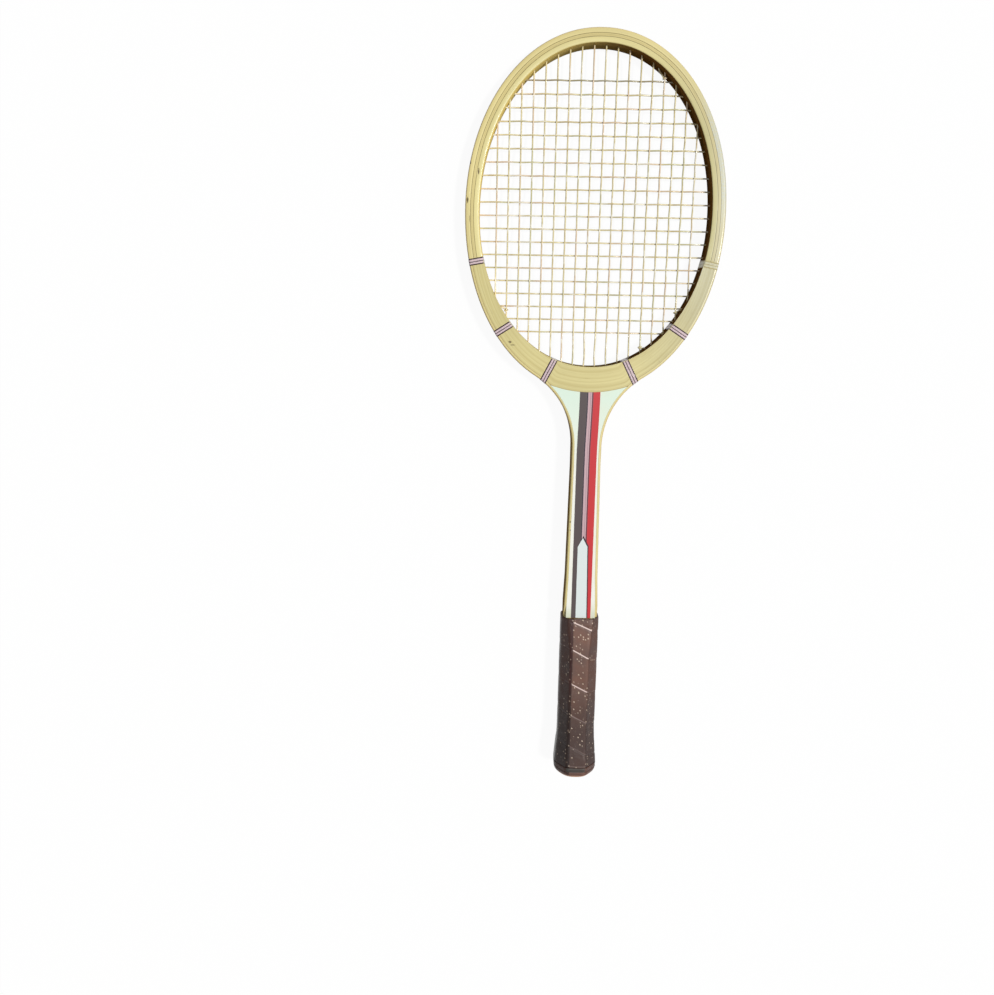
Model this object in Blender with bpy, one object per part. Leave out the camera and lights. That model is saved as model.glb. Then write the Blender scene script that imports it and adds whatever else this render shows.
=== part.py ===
"""A strung wooden tennis racket, lying flat with its string bed level and its head towards +Y.

Inside the script a place on the racket is (x, s, z): x across, s along the racket from the butt,
and z up from the plane of the string bed. One empty carries every piece to its place.
"""

from collections import namedtuple
from math import asin, atan2, ceil, copysign, cos, hypot, pi, radians, sin, sqrt, tan

import bmesh
import bpy
import numpy as np

# Head
LENGTH = 0.6858
HEAD_WIDTH = 0.2250
HEAD_FULLNESS = 2.06
TIP_REACH = 0.1500
BOW_REACH = 0.1548
BOW_GROWTH = 0.0107
BOW_DEPTH = 0.0226
SEAM_RADIUS = 0.1056
FRAME_DEPTH = 0.0185
EDGE_BEVEL = 0.0015
INNER_EDGE = 0.0010

# Layers of the frame
OUTER_PLY = 0.0046
MIDDLE_PLY = 0.0024
INNER_PLY = 0.0044
VENEER = 0.0008
GLUE_GAP = 0.0003

# Shaft
SHOULDER_RADIUS = 0.0744
WAIST_WIDTH = 0.0277
WEDGE_LENGTH = 0.0900

# Handle
HANDLE_LENGTH = 0.1660
HANDLE_WIDTH = 0.0322
HANDLE_DEPTH = 0.0274
HANDLE_BEVEL = 0.0086
PALLET_TAPER = 0.0340
PALLET_TOE = 0.0006

# Butt cap
CAP_LENGTH = 0.0450
CAP_WALL = 0.0040
CAP_SKIRT = 0.0006
CAP_FLARE = 0.0025
CAP_SHOULDER = 0.0150
CAP_DOME = 0.0105
CAP_SOFTENING = 0.0008
CAP_BAND_WIDTH = 0.0034
CAP_BAND_DEPTH = 0.0004

# Leather grip
LEATHER = 0.0015
GRIP_PITCH = 0.0323
GRIP_SEAM = 0.00055
GRIP_SKIVE = 0.0008
GRIP_TIP = 0.0010
FACE_DROP = 0.27

# Whippings
WHIP_WIDTH = 0.0060
WHIP_DEPTH = 0.0006
WHIP_ANGLES = {"upper": 74.6, "lower": 48.3, "throat": 20.8}

# Strings
STRING = 0.00135
WEAVE_GAP = 0.0003
MAINS = 18
MAIN_PITCH = 0.01005
CROSSES = 20
CROSS_PITCH = 0.01116
TOP_CROSS_DROP = 0.0398
HOLE = 0.00268
LANE = 0.00105
GROOVE_DEPTH = 0.0022
GROOVE_WIDTH = 0.0042
STRING_BEND = 0.0009
NEAR_WALL = 0.0060
THROAT_EXITS = (0.0375, 0.0475)
KNOT_TURNS = 1.5
KNOT_ABOVE_CROSS = 0.0075
KNOT_BELOW_CROSS = 0.0078

# Painted stripes on the shaft, as left edge, right edge and paint
STRIPES = (
    (-0.0093, -0.0035, "charcoal"),
    (-0.0035, -0.0020, "black"),
    (-0.0020, 0.0019, "rose"),
    (0.0019, 0.0030, "maroon"),
    (0.0030, 0.0093, "red"),
)
PANEL_WIDTH = 0.0098
PANEL_APEX = 0.2444
PANEL_POINT = 0.0092

# Fineness of the faceted solids
HEAD_STEPS = 40
SHOULDER_STEPS = 5
SEAM_STEPS = 8

# Sizes that follow from those above
HALF_WIDTH = HEAD_WIDTH / 2
HALF_DEPTH = FRAME_DEPTH / 2
VENEERED_HALF = HALF_DEPTH - VENEER - GLUE_GAP
HEAD_CENTRE = LENGTH - TIP_REACH
TOP_CROSS = LENGTH - TOP_CROSS_DROP
MIDDLE_INSET = OUTER_PLY + GLUE_GAP
CORE_INSET = MIDDLE_INSET + MIDDLE_PLY + GLUE_GAP
WALL = CORE_INSET + INNER_PLY
VENEER_END = radians(WHIP_ANGLES["upper"])
OPENING_FOOT = HEAD_CENTRE - BOW_REACH + WALL + BOW_GROWTH
SEAM_FOOT = OPENING_FOOT - BOW_DEPTH
GROOVE_FOOT = OPENING_FOOT - THROAT_EXITS[1] - STRING_BEND * 12
BEVEL_SUM = HANDLE_WIDTH / 2 + HANDLE_DEPTH / 2 - HANDLE_BEVEL
CAP_REBATE = CAP_SKIRT + GLUE_GAP
WOOD_FOOT = CAP_WALL + GLUE_GAP
GRIP_BOTTOM = CAP_SHOULDER
GRIP_TOP = HANDLE_LENGTH - GLUE_GAP
WEAVE_RISE = (STRING + WEAVE_GAP) / 2
LOOP_INSET = GROOVE_DEPTH / 2
BUTT_OUT = CAP_FLARE + GLUE_GAP + LEATHER
MID_HEIGHT = HANDLE_DEPTH / 2 + BUTT_OUT
STEP = 0.0002

Frame = namedtuple("Frame", "x s nx ns veneered")

PAINTS = {
    "ash": ((0.76, 0.62, 0.30), 0.38, 0.0),
    "ash_pale": ((0.80, 0.66, 0.34), 0.38, 0.0),
    "beech": ((0.62, 0.42, 0.22), 0.50, 0.0),
    "veneer": ((0.70, 0.58, 0.27), 0.32, 0.0),
    "cream": ((0.80, 0.86, 0.74), 0.30, 0.0),
    "charcoal": ((0.11, 0.09, 0.10), 0.35, 0.0),
    "black": ((0.02, 0.015, 0.03), 0.35, 0.0),
    "rose": ((0.52, 0.37, 0.40), 0.35, 0.0),
    "maroon": ((0.20, 0.03, 0.07), 0.35, 0.0),
    "red": ((0.67, 0.06, 0.08), 0.35, 0.0),
    "leather": ((0.11, 0.06, 0.045), 0.55, 0.0),
    "cap": ((0.16, 0.07, 0.035), 0.45, 0.0),
    "thread": ((0.12, 0.06, 0.08), 0.60, 0.0),
    "gut": ((0.70, 0.60, 0.42), 0.40, 0.0),
    "tool": ((0.55, 0.55, 0.56), 0.50, 0.0),
}


def clear_scene():
    for item in list(bpy.data.objects):
        bpy.data.objects.remove(item, do_unlink=True)


def material(name):
    """The Principled material of one finish, made on first use."""
    known = bpy.data.materials.get(name)
    if known:
        return known
    colour, roughness, metallic = PAINTS[name]
    made = bpy.data.materials.new(name)
    made.use_nodes = True
    made.diffuse_color = (*colour, 1.0)
    shader = made.node_tree.nodes["Principled BSDF"]
    shader.inputs["Base Color"].default_value = (*colour, 1.0)
    shader.inputs["Roughness"].default_value = roughness
    shader.inputs["Metallic"].default_value = metallic
    return made


def carrier():
    """The empty that carries the racket from its own places to the world."""
    empty = bpy.data.objects.get("racket")
    if empty is None:
        empty = bpy.data.objects.new("racket", None)
        empty.location = (0.0, -LENGTH / 2, MID_HEIGHT)
        bpy.context.collection.objects.link(empty)
    return empty


def add(name, shape, finish):
    """One object on the carrier, from a bmesh whose faces are turned outwards."""
    bmesh.ops.recalc_face_normals(shape, faces=shape.faces)
    mesh = bpy.data.meshes.new(name)
    shape.to_mesh(mesh)
    shape.free()
    mesh.materials.append(material(finish))
    mesh.shade_smooth()
    mesh.set_sharp_from_angle(angle=radians(35))
    item = bpy.data.objects.new(name, mesh)
    item.parent = carrier()
    bpy.context.collection.objects.link(item)
    return item


def add_cutter(name, shape):
    item = add(name, shape, "tool")
    item.hide_render = True
    item.display_type = "WIRE"
    return item


def cut(item, *cutters):
    for cutter in cutters:
        boolean = item.modifiers.new(cutter.name, "BOOLEAN")
        boolean.operation = "DIFFERENCE"
        boolean.object = cutter


def loft(rings, closed=False, shape=None):
    """A solid through equal rings of points, closed on itself or capped at both ends."""
    shape = shape or bmesh.new()
    rows = [[shape.verts.new(point) for point in ring] for ring in rings]
    count = len(rows)
    for index in range(count if closed else count - 1):
        here, after = rows[index], rows[(index + 1) % count]
        for side in range(len(here)):
            step = (side + 1) % len(here)
            shape.faces.new((here[side], here[step], after[step], after[side]))
    if not closed:
        shape.faces.new(reversed(rows[0]))
        shape.faces.new(rows[-1])
    return shape


def prism(lower, upper, low, high):
    """A plate between two equal outlines at two heights."""
    return loft([[(x, s, low) for x, s in lower], [(x, s, high) for x, s in upper]])


# The outline of the frame


def head_frame(theta, veneered=False):
    """A place on the head's outer edge, theta round from its foot, with its outward normal."""
    reach = BOW_REACH if cos(theta) > 0 else TIP_REACH
    power = 2 / HEAD_FULLNESS
    across = copysign(abs(sin(theta)) ** power, sin(theta))
    along = copysign(abs(cos(theta)) ** power, cos(theta))
    nx = copysign(abs(sin(theta)) ** (2 - power), sin(theta)) / HALF_WIDTH
    ns = -copysign(abs(cos(theta)) ** (2 - power), cos(theta)) / reach
    size = hypot(nx, ns)
    return Frame(HALF_WIDTH * across, HEAD_CENTRE - reach * along, nx / size, ns / size, veneered)


def bow_growth(theta):
    """How much thicker than its layers the head's wall is, from the wedge between them."""
    return BOW_GROWTH * max(cos(theta), 0.0) ** 2


def shoulder_start():
    """The theta at which the shoulder's arc leaves the head, touching both it and the waist."""
    low, high = radians(2), radians(80)
    for _ in range(60):
        middle = (low + high) / 2
        frame = head_frame(middle)
        if frame.x + SHOULDER_RADIUS * frame.nx > WAIST_WIDTH / 2 + SHOULDER_RADIUS:
            high = middle
        else:
            low = middle
    return low


def side_frames():
    """The right-hand outline, from the tip of the head down to the end of the wood."""
    leave = shoulder_start()
    steps = [pi - 2 * pi * index / HEAD_STEPS for index in range(HEAD_STEPS // 2)]
    bare = [theta for theta in steps if theta > VENEER_END + STEP] + [VENEER_END + STEP]
    under = [VENEER_END] + [theta for theta in steps if leave + STEP < theta < VENEER_END - STEP]
    frames = [head_frame(theta) for theta in bare] + [head_frame(theta, True) for theta in under]
    start = head_frame(leave)
    centre = (start.x + SHOULDER_RADIUS * start.nx, start.s + SHOULDER_RADIUS * start.ns)
    turn = atan2(-start.ns, start.nx)
    for index in range(SHOULDER_STEPS + 1):
        angle = turn * (1 - index / SHOULDER_STEPS)
        nx, ns = cos(angle), -sin(angle)
        place = (centre[0] - SHOULDER_RADIUS * nx, centre[1] - SHOULDER_RADIUS * ns)
        frames.append(Frame(*place, nx, ns, True))
    for station, veneered in (
        (HANDLE_LENGTH, True),
        (HANDLE_LENGTH - STEP, False),
        (CAP_LENGTH + GLUE_GAP, False),
        (CAP_LENGTH + GLUE_GAP - STEP, False),
        (WOOD_FOOT, False),
    ):
        frames.append(Frame(HANDLE_WIDTH / 2, station, 1.0, 0.0, veneered))
    return frames


def mirrored(frame):
    return frame._replace(x=-frame.x, nx=-frame.nx)


def bend_frames():
    """The whole outline, from the right of the butt round the head to the left of the butt."""
    right = side_frames()
    return right[::-1] + [mirrored(frame) for frame in right[1:]]


def ring_frames():
    """Places round the head, from its foot, with a pair where the veneer ends."""
    steps = [2 * pi * index / HEAD_STEPS for index in range(HEAD_STEPS)]
    frames = []
    for theta in steps:
        frames.append((theta, head_frame(theta, min(theta, 2 * pi - theta) < VENEER_END)))
    for end, inner, outer in ((VENEER_END, -STEP, STEP), (-VENEER_END, STEP, -STEP)):
        frames.append((end + inner, head_frame(end + inner, True)))
        frames.append((end + outer, head_frame(end + outer, False)))
    return sorted(((theta % (2 * pi), frame) for theta, frame in frames), key=lambda pair: pair[0])


def inset(frame, depth):
    return frame.x - frame.nx * depth, frame.s - frame.ns * depth


def opening_points():
    """The inner edge of the head, where the strings meet it."""
    return [inset(frame, WALL + bow_growth(theta)) for theta, frame in ring_frames()]


def swept(frame, section):
    return [(*inset(frame, depth), height) for depth, height in section]


def both_faces(half):
    """A section's front half, given from the outer side inwards, with its mirror image behind."""
    return half + [(depth, -height) for depth, height in reversed(half)]


def outer_section(frame):
    """The outer lamination across its length: bevelled outside, lower where a veneer lies on it."""
    low = HALF_DEPTH - EDGE_BEVEL
    top = VENEERED_HALF if frame.veneered else HALF_DEPTH
    outside = CAP_REBATE if frame.s < CAP_LENGTH + GLUE_GAP / 2 else 0.0
    floor = GROOVE_DEPTH if frame.s > GROOVE_FOOT else outside
    half = [(outside, low), (outside + top - low, top)]
    groove = [(floor, GROOVE_WIDTH / 2 - STEP), (outside, GROOVE_WIDTH / 2)]
    return both_faces(groove + half + [(OUTER_PLY, top)])


def middle_section(frame):
    top = VENEERED_HALF if frame.veneered else HALF_DEPTH
    return both_faces([(MIDDLE_INSET, top), (MIDDLE_INSET + MIDDLE_PLY, top)])


def inner_section(theta, frame):
    top = VENEERED_HALF if frame.veneered else HALF_DEPTH
    inside = WALL + bow_growth(theta)
    depth = INNER_PLY if frame.veneered else INNER_PLY + bow_growth(theta)
    edge = STEP if frame.veneered else INNER_EDGE
    return both_faces([(inside - depth, top), (inside - edge, top), (inside, top - edge)])


# The handle's eight sides


def taper(station):
    """How far the front and back pallets have fallen towards the shaft at their upper end."""
    start = HANDLE_LENGTH - PALLET_TAPER
    fall = HANDLE_DEPTH / 2 - HALF_DEPTH - GLUE_GAP - PALLET_TOE
    return fall * min(max((station - start) / PALLET_TAPER, 0.0), 1.0)


def flare(station):
    run = CAP_LENGTH - CAP_SHOULDER
    return CAP_FLARE * min(max((CAP_LENGTH - station) / run, 0.0), 1.0)


def octagon(station, out, soften=0.0):
    """The eight corners of the handle moved outwards, or sixteen where the corners are softened.

    They run clockwise as seen from the butt, from the front face's left corner.
    """
    width = HANDLE_WIDTH / 2 + out
    depth = HANDLE_DEPTH / 2 - taper(station) + out
    total = BEVEL_SUM + out * sqrt(2)
    quarter = [(total - depth, depth), (width, total - width)]
    corners = [(-quarter[0][0], depth), quarter[0], quarter[1], (width, -quarter[1][1])]
    corners += [(-x, -z) for x, z in corners]
    if not soften:
        return [(x, station, z) for x, z in corners]
    points = []
    for index, corner in enumerate(corners):
        for other in (corners[index - 1], corners[(index + 1) % 8]):
            away = np.subtract(other, corner)
            x, z = np.add(corner, away / hypot(*away) * soften)
            points.append((x, station, z))
    return points


def bevel_cutter():
    """Four long wedges that trim the shaft's corners to the handle's bevels."""
    shape = bmesh.new()
    step = CAP_LENGTH + GLUE_GAP / 2
    far = HANDLE_DEPTH
    for side_x in (-1, 1):
        for side_z in (-1, 1):
            rings = []
            for station, out in (
                (0.0, -CAP_REBATE),
                (step - STEP, -CAP_REBATE),
                (step, 0.0),
                (HANDLE_LENGTH, 0.0),
            ):
                total = BEVEL_SUM + out * sqrt(2)
                corners = ((total - far, far), (far, far), (far, total - far))
                rings.append([(side_x * x, station, side_z * z) for x, z in corners])
            loft(rings, shape=shape)
    return add_cutter("bevel_cutter", shape)


def make_pallet(name, side):
    """A pallet that fills the handle out to its front or back face."""
    base = HALF_DEPTH + GLUE_GAP
    rings = []
    for station, out in (
        (WOOD_FOOT, -CAP_REBATE),
        (CAP_LENGTH + GLUE_GAP - STEP, -CAP_REBATE),
        (CAP_LENGTH + GLUE_GAP, 0.0),
        (HANDLE_LENGTH - PALLET_TAPER, 0.0),
        (HANDLE_LENGTH - GLUE_GAP, 0.0),
    ):
        top = HANDLE_DEPTH / 2 - taper(station) + out
        total = BEVEL_SUM + out * sqrt(2)
        half = [(total - base, base), (total - top, top)]
        ring = half + [(-x, z) for x, z in reversed(half)]
        rings.append([(x, station, side * z) for x, z in ring])
    return add(name, loft(rings), "beech")


def make_butt_cap():
    """The flared cup over the end of the handle, domed at the butt."""
    outer = [(CAP_LENGTH, 0.0), (CAP_SHOULDER, CAP_FLARE)]
    rim = CAP_SHOULDER - GLUE_GAP
    outer += [(rim, CAP_FLARE), (rim - STEP, BUTT_OUT)]
    band = rim - CAP_BAND_WIDTH
    outer += [(band, BUTT_OUT - CAP_BAND_DEPTH), (band - CAP_BAND_DEPTH, BUTT_OUT)]
    dome = band - CAP_BAND_DEPTH
    for share in (0.35, 0.62, 0.83, 0.95, 1.0):
        fall = CAP_DOME * (1 - sqrt(1 - share**2))
        outer.append((dome * (1 - share), BUTT_OUT - fall))
    rings = [octagon(station, out, CAP_SOFTENING) for station, out in outer]
    item = add("butt_cap", loft(rings[::-1]), "cap")
    hollow = [octagon(station, -CAP_SKIRT) for station in (CAP_WALL, CAP_LENGTH + STEP)]
    cut(item, add_cutter("cap_hollow", loft(hollow)))


# The leather grip


def facet_drops():
    """The share of one turn's pitch that the strip falls over each of the eight facets."""
    other = (1 - 2 * FACE_DROP) / 6
    return [FACE_DROP, other, other, other] * 2


def grip_fall(turns):
    """How far the strip's lower edge has fallen after a number of turns, in pitches."""
    whole = int(turns // 1)
    facets = (turns - whole) * 8
    drops = facet_drops()
    index = min(int(facets), 7)
    return whole + sum(drops[:index]) + drops[index] * (facets - index)


def grip_point(turns, station, out):
    """The place on the handle's skin, a number of turns round from its front left corner."""
    corners = octagon(station, out + flare(station))
    facets = (turns % 1) * 8
    index = min(int(facets), 7)
    share = facets - index
    here, after = np.array(corners[index]), np.array(corners[(index + 1) % 8])
    return tuple(here + (after - here) * share)


def make_grip():
    """One strip of leather wound down the handle, cut square at both ends."""
    rows = ceil((GRIP_TOP - GRIP_BOTTOM) / GRIP_PITCH) + 1
    rings, lower_edge, upper_edge = [], [], []
    for turns in [index / 8 for index in range(rows * 8 + 1)]:
        fall = GRIP_PITCH * grip_fall(turns) if turns > 0 else 0.0
        lower = max(GRIP_TOP - fall, GRIP_BOTTOM)
        upper = GRIP_TOP
        if turns > 1:
            upper -= GRIP_PITCH * grip_fall(turns - 1) + GRIP_SEAM
        if upper - lower < GRIP_TIP:
            continue
        skive = min(GRIP_SKIVE, (upper - lower) / 4)
        bend = min(max(HANDLE_LENGTH - PALLET_TAPER, lower + skive * 1.5), upper - skive * 1.5)
        base, top = GLUE_GAP, GLUE_GAP + LEATHER
        edge = GLUE_GAP + LEATHER * 0.6
        rings.append(
            [
                grip_point(turns, lower, base),
                grip_point(turns, lower, edge),
                grip_point(turns, lower + skive, top),
                grip_point(turns, bend, top),
                grip_point(turns, upper - skive, top),
                grip_point(turns, upper, edge),
                grip_point(turns, upper, base),
                grip_point(turns, bend, base),
            ]
        )
        if lower > GRIP_BOTTOM:
            lower_edge.append(rings[-1][1])
        if turns > 1:
            upper_edge.append(rings[-1][5])
    apart = np.subtract(np.array(upper_edge)[:, None], np.array(lower_edge)[None])
    print("leather strip, least gap between turns in mm:", 1000 * np.linalg.norm(apart, axis=2).min())
    return add("leather_grip", loft(rings), "leather")


# The laminations and the wood between them


def make_laminations():
    outline = bend_frames()
    outer = loft([swept(frame, outer_section(frame)) for frame in outline])
    middle = loft([swept(frame, middle_section(frame)) for frame in outline])
    inner = loft([swept(frame, inner_section(theta, frame)) for theta, frame in ring_frames()], True)
    return (
        add("outer_lamination", outer, "ash"),
        add("middle_lamination", middle, "ash_pale"),
        add("inner_lamination", inner, "ash"),
    )


def waist_station():
    """Where the shoulder's arc ends and the straight shaft begins."""
    start = head_frame(shoulder_start())
    return start.s + SHOULDER_RADIUS * start.ns


def shaft_half_width(station):
    """Half the shaft's width on its straight run from the waist to the handle."""
    share = (waist_station() - station) / (waist_station() - HANDLE_LENGTH)
    share = min(max(share, 0.0), 1.0)
    return WAIST_WIDTH / 2 + (HANDLE_WIDTH - WAIST_WIDTH) / 2 * share


def make_wedge():
    """The throat wedge, whose horns run up between the layers to the upper whippings."""
    foot = OPENING_FOOT - BOW_DEPTH - WEDGE_LENGTH
    horns = [(theta, frame) for theta, frame in ring_frames() if frame.veneered]
    horns.sort(key=lambda pair: (pair[0] + pi) % (2 * pi))
    top = []
    for theta, frame in horns:
        top.append(inset(frame, WALL + bow_growth(theta) - INNER_PLY - GLUE_GAP))
    right = [frame for frame in side_frames() if frame.veneered and frame.s > foot]
    edge = [inset(frame, CORE_INSET) for frame in right]
    edge.append((shaft_half_width(foot) - CORE_INSET, foot))
    outline = top + edge + [(-x, s) for x, s in reversed(edge)]
    return add("throat_wedge", prism(outline, outline, -VENEERED_HALF, VENEERED_HALF), "beech")


def make_core():
    """The filler strip between the laminations, from the wedge to the end of the handle."""
    top = OPENING_FOOT - BOW_DEPTH - WEDGE_LENGTH - GLUE_GAP
    rings = []
    for station, half in (
        (top, VENEERED_HALF),
        (HANDLE_LENGTH, VENEERED_HALF),
        (HANDLE_LENGTH - STEP, HALF_DEPTH),
        (WOOD_FOOT, HALF_DEPTH),
    ):
        x = shaft_half_width(station) - CORE_INSET
        rings.append([(x, station, half), (-x, station, half), (-x, station, -half), (x, station, -half)])
    return add("shaft_core", loft(rings), "beech")


# The veneers


def seam(shift, back):
    """The arc where the bow's veneer meets the shaft's, right to left, and the frames on each side.

    The arc is moved up by shift, and it ends where the veneers stand back from the outer edge.
    """
    radius, centre = SEAM_RADIUS - shift, SEAM_FOOT + SEAM_RADIUS
    frames = [frame for frame in side_frames() if frame.veneered]
    edge = np.array([inset(frame, back) for frame in frames])
    beyond = np.hypot(edge[:, 0], edge[:, 1] - centre) - radius
    last = int(np.argmax((beyond > 0) & (edge[:, 1] < HEAD_CENTRE - BOW_REACH / 2)))
    share = beyond[last] / (beyond[last] - beyond[last - 1])
    corner = edge[last] + (edge[last - 1] - edge[last]) * share
    reach = asin(corner[0] / radius)
    angles = [reach * (1 - 2 * index / SEAM_STEPS) for index in range(SEAM_STEPS + 1)]
    points = [(radius * sin(angle), centre - radius * cos(angle)) for angle in angles]
    return points, frames[:last], frames[last:]


def edge_insets():
    """How far a veneer stands back from the frame's outer edge, at its glue face and its show face."""
    return EDGE_BEVEL - VENEER, EDGE_BEVEL


def bow_outline(back, inner_back):
    """The outline of the bow's veneer, standing back from the outer and the inner edge."""
    foot, above, _ = seam(GLUE_GAP / 2, back)
    outer = [inset(frame, back) for frame in above]
    inner = []
    for theta, frame in ring_frames():
        if frame.veneered:
            turn = (theta + pi) % (2 * pi)
            inner.append((turn, inset(frame, WALL + bow_growth(theta) - inner_back)))
    inner = [point for _, point in sorted(inner)]
    return outer + foot + [(-x, s) for x, s in reversed(outer)] + inner


def shaft_outline(back):
    """The outline of the shaft's veneer, from the seam down to the handle."""
    head, _, below = seam(-GLUE_GAP / 2, back)
    outer = [inset(frame, back) for frame in below]
    return head[::-1] + outer + [(-x, s) for x, s in reversed(outer)]


def sliced(shape, place, normal, faces=None):
    geometry = list(shape.verts) + list(shape.edges) + list(shape.faces)
    if faces is not None:
        edges = {edge for face in faces for edge in face.edges}
        geometry = list({vert for face in faces for vert in face.verts}) + list(edges) + list(faces)
    bmesh.ops.bisect_plane(shape, geom=geometry, dist=1e-7, plane_co=place, plane_no=normal)


def stripe_paint(x, s):
    """The paint at one place on the shaft: stripes, with a plain pointed panel over their foot."""
    half = PANEL_WIDTH / 2
    if s < PANEL_APEX and abs(x) < half * min((PANEL_APEX - s) / PANEL_POINT, 1.0):
        return "cream"
    for left, right, paint in STRIPES:
        if left < x < right:
            return paint
    return "cream"


def paint_stripes(item, side):
    """Cuts the show face along the stripes and gives each part its paint."""
    shape = bmesh.new()
    shape.from_mesh(item.data)
    for place in [stripe[0] for stripe in STRIPES] + [STRIPES[-1][1]]:
        sliced(shape, (place, 0, 0), (1, 0, 0))
    half, shoulder = PANEL_WIDTH / 2, PANEL_APEX - PANEL_POINT
    sliced(shape, (0, shoulder, 0), (0, 1, 0))
    for turn in (-1, 1):
        tip = [face for face in shape.faces if face.calc_center_median().y > shoulder]
        sliced(shape, (0, PANEL_APEX, 0), (turn * PANEL_POINT, half, 0), tip)
        foot = [face for face in shape.faces if face.calc_center_median().y < shoulder]
        sliced(shape, (turn * half, 0, 0), (1, 0, 0), foot)
    paints = ["cream"] + [stripe[2] for stripe in STRIPES]
    for paint in paints[1:]:
        item.data.materials.append(material(paint))
    for face in shape.faces:
        middle = face.calc_center_median()
        if face.normal.z * side > 0.9:
            face.material_index = paints.index(stripe_paint(middle.x * side, middle.y))
    shape.to_mesh(item.data)
    shape.free()


def make_veneers():
    glue_back, show_back = edge_insets()
    for name, side in (("front", 1), ("back", -1)):
        heights = (side * (HALF_DEPTH - VENEER), side * HALF_DEPTH)
        bow = prism(bow_outline(glue_back, STEP), bow_outline(show_back, INNER_EDGE), *heights)
        add(f"bow_overlay_{name}", bow, "veneer")
        shaft = prism(shaft_outline(glue_back), shaft_outline(show_back), *heights)
        paint_stripes(add(f"shaft_overlay_{name}", shaft, "cream"), side)


# The whippings


def wall_span(origin, along, across, shift):
    """Where a line across the frame meets the opening and the outer edge, as distances."""
    start = origin + along * shift
    spans = []
    right = [inset(frame, 0.0) for frame in side_frames()]
    for path in (opening_points(), right):
        points = np.array(path) - start
        u, v = points @ along, points @ across
        hits = []
        for index in range(len(u) - 1):
            if (u[index] > 0) != (u[index + 1] > 0):
                share = u[index] / (u[index] - u[index + 1])
                hits.append(v[index] + share * (v[index + 1] - v[index]))
        spans.append(min(hits, key=abs))
    return spans


def band_edges(middle, along, across):
    """Straight lines over the opening's wall and the outer edge that clear both, end to end."""
    shifts = np.linspace(-WHIP_WIDTH / 2, WHIP_WIDTH / 2, 9)
    spans = np.array([wall_span(middle, along, across, shift) for shift in shifts])
    share = np.linspace(0, 1, len(shifts))[:, None]
    chords = spans[0] + (spans[-1] - spans[0]) * share
    bulge = (spans - chords) * (-1, 1)
    raised = np.maximum(bulge.max(axis=0), 0) * (-1, 1)
    return spans[0] + raised, spans[-1] + raised


def whip_rings(theta, side):
    """The skins of one whipping's four rings: a band round the frame's whole section."""
    frame = head_frame(theta)
    across = np.array([frame.nx, frame.ns])
    along = np.array([-frame.ns, frame.nx])
    middle = np.array(inset(frame, (WALL + bow_growth(theta)) / 2))
    first, last = band_edges(middle, along, across)
    placed = []
    for shift, rise in ((-1.0, 0.4), (-0.85, 1.0), (0.85, 1.0), (1.0, 0.4)):
        inner, outer = first + (last - first) * (shift + 1) / 2
        skins = []
        for out in (WHIP_DEPTH * rise + GLUE_GAP, GLUE_GAP):
            high = HALF_DEPTH + out
            top = []
            for v, sign, edge in ((inner - out, -1, INNER_EDGE), (outer + out, 1, EDGE_BEVEL)):
                reach = edge + out * (2 - sqrt(2))
                top += [(v, high - reach), (v - sign * reach, high)][::-sign]
            loop = top + [(v, -height) for v, height in reversed(top)]
            start = middle + along * shift * WHIP_WIDTH / 2
            skins.append([(side * (start + across * v)[0], (start + across * v)[1], z) for v, z in loop])
        placed.append(skins)
    return placed


def make_whipping(name, theta, side):
    """A closed band, joined from its outside skin and its inside skin."""
    placed = whip_rings(theta, side)
    skins = [outside for outside, _ in placed] + [placed[-1][1], placed[0][1]]
    add(name, loft(skins, closed=True), "thread")


# The strings


def meet(path, axis, value, highest):
    """The place, as a float index, where a path crosses a line, highest or lowest on it."""
    found = []
    for index in range(len(path) - 1):
        low, high = path[index][axis], path[index + 1][axis]
        if (low - value) * (high - value) <= 0 and low != high:
            share = (value - low) / (high - low)
            other = path[index][1 - axis] + share * (path[index + 1][1 - axis] - path[index][1 - axis])
            found.append((other, index + share))
    return max(found)[1] if highest else min(found)[1]


def at(path, place):
    index = min(int(place), len(path) - 2)
    here, after = np.array(path[index]), np.array(path[index + 1])
    return here + (after - here) * (place - index)


def rounded(before, corner, after, radius):
    """A few points of an arc that replaces a corner."""
    into, out = np.subtract(corner, before), np.subtract(after, corner)
    into, out = into / np.linalg.norm(into), out / np.linalg.norm(out)
    turn = np.arccos(np.clip(into @ out, -1, 1))
    if turn < radians(12):
        return [np.array(corner)]
    trim = radius * tan(turn / 2)
    start = corner - into * trim
    steps = 1 if turn < radians(100) else 2
    side = out - into * (into @ out)
    side = side / np.linalg.norm(side)
    points = []
    for index in range(steps + 1):
        angle = turn * index / steps
        points.append(start + into * radius * sin(angle) + side * radius * (1 - cos(angle)))
    return points


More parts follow.
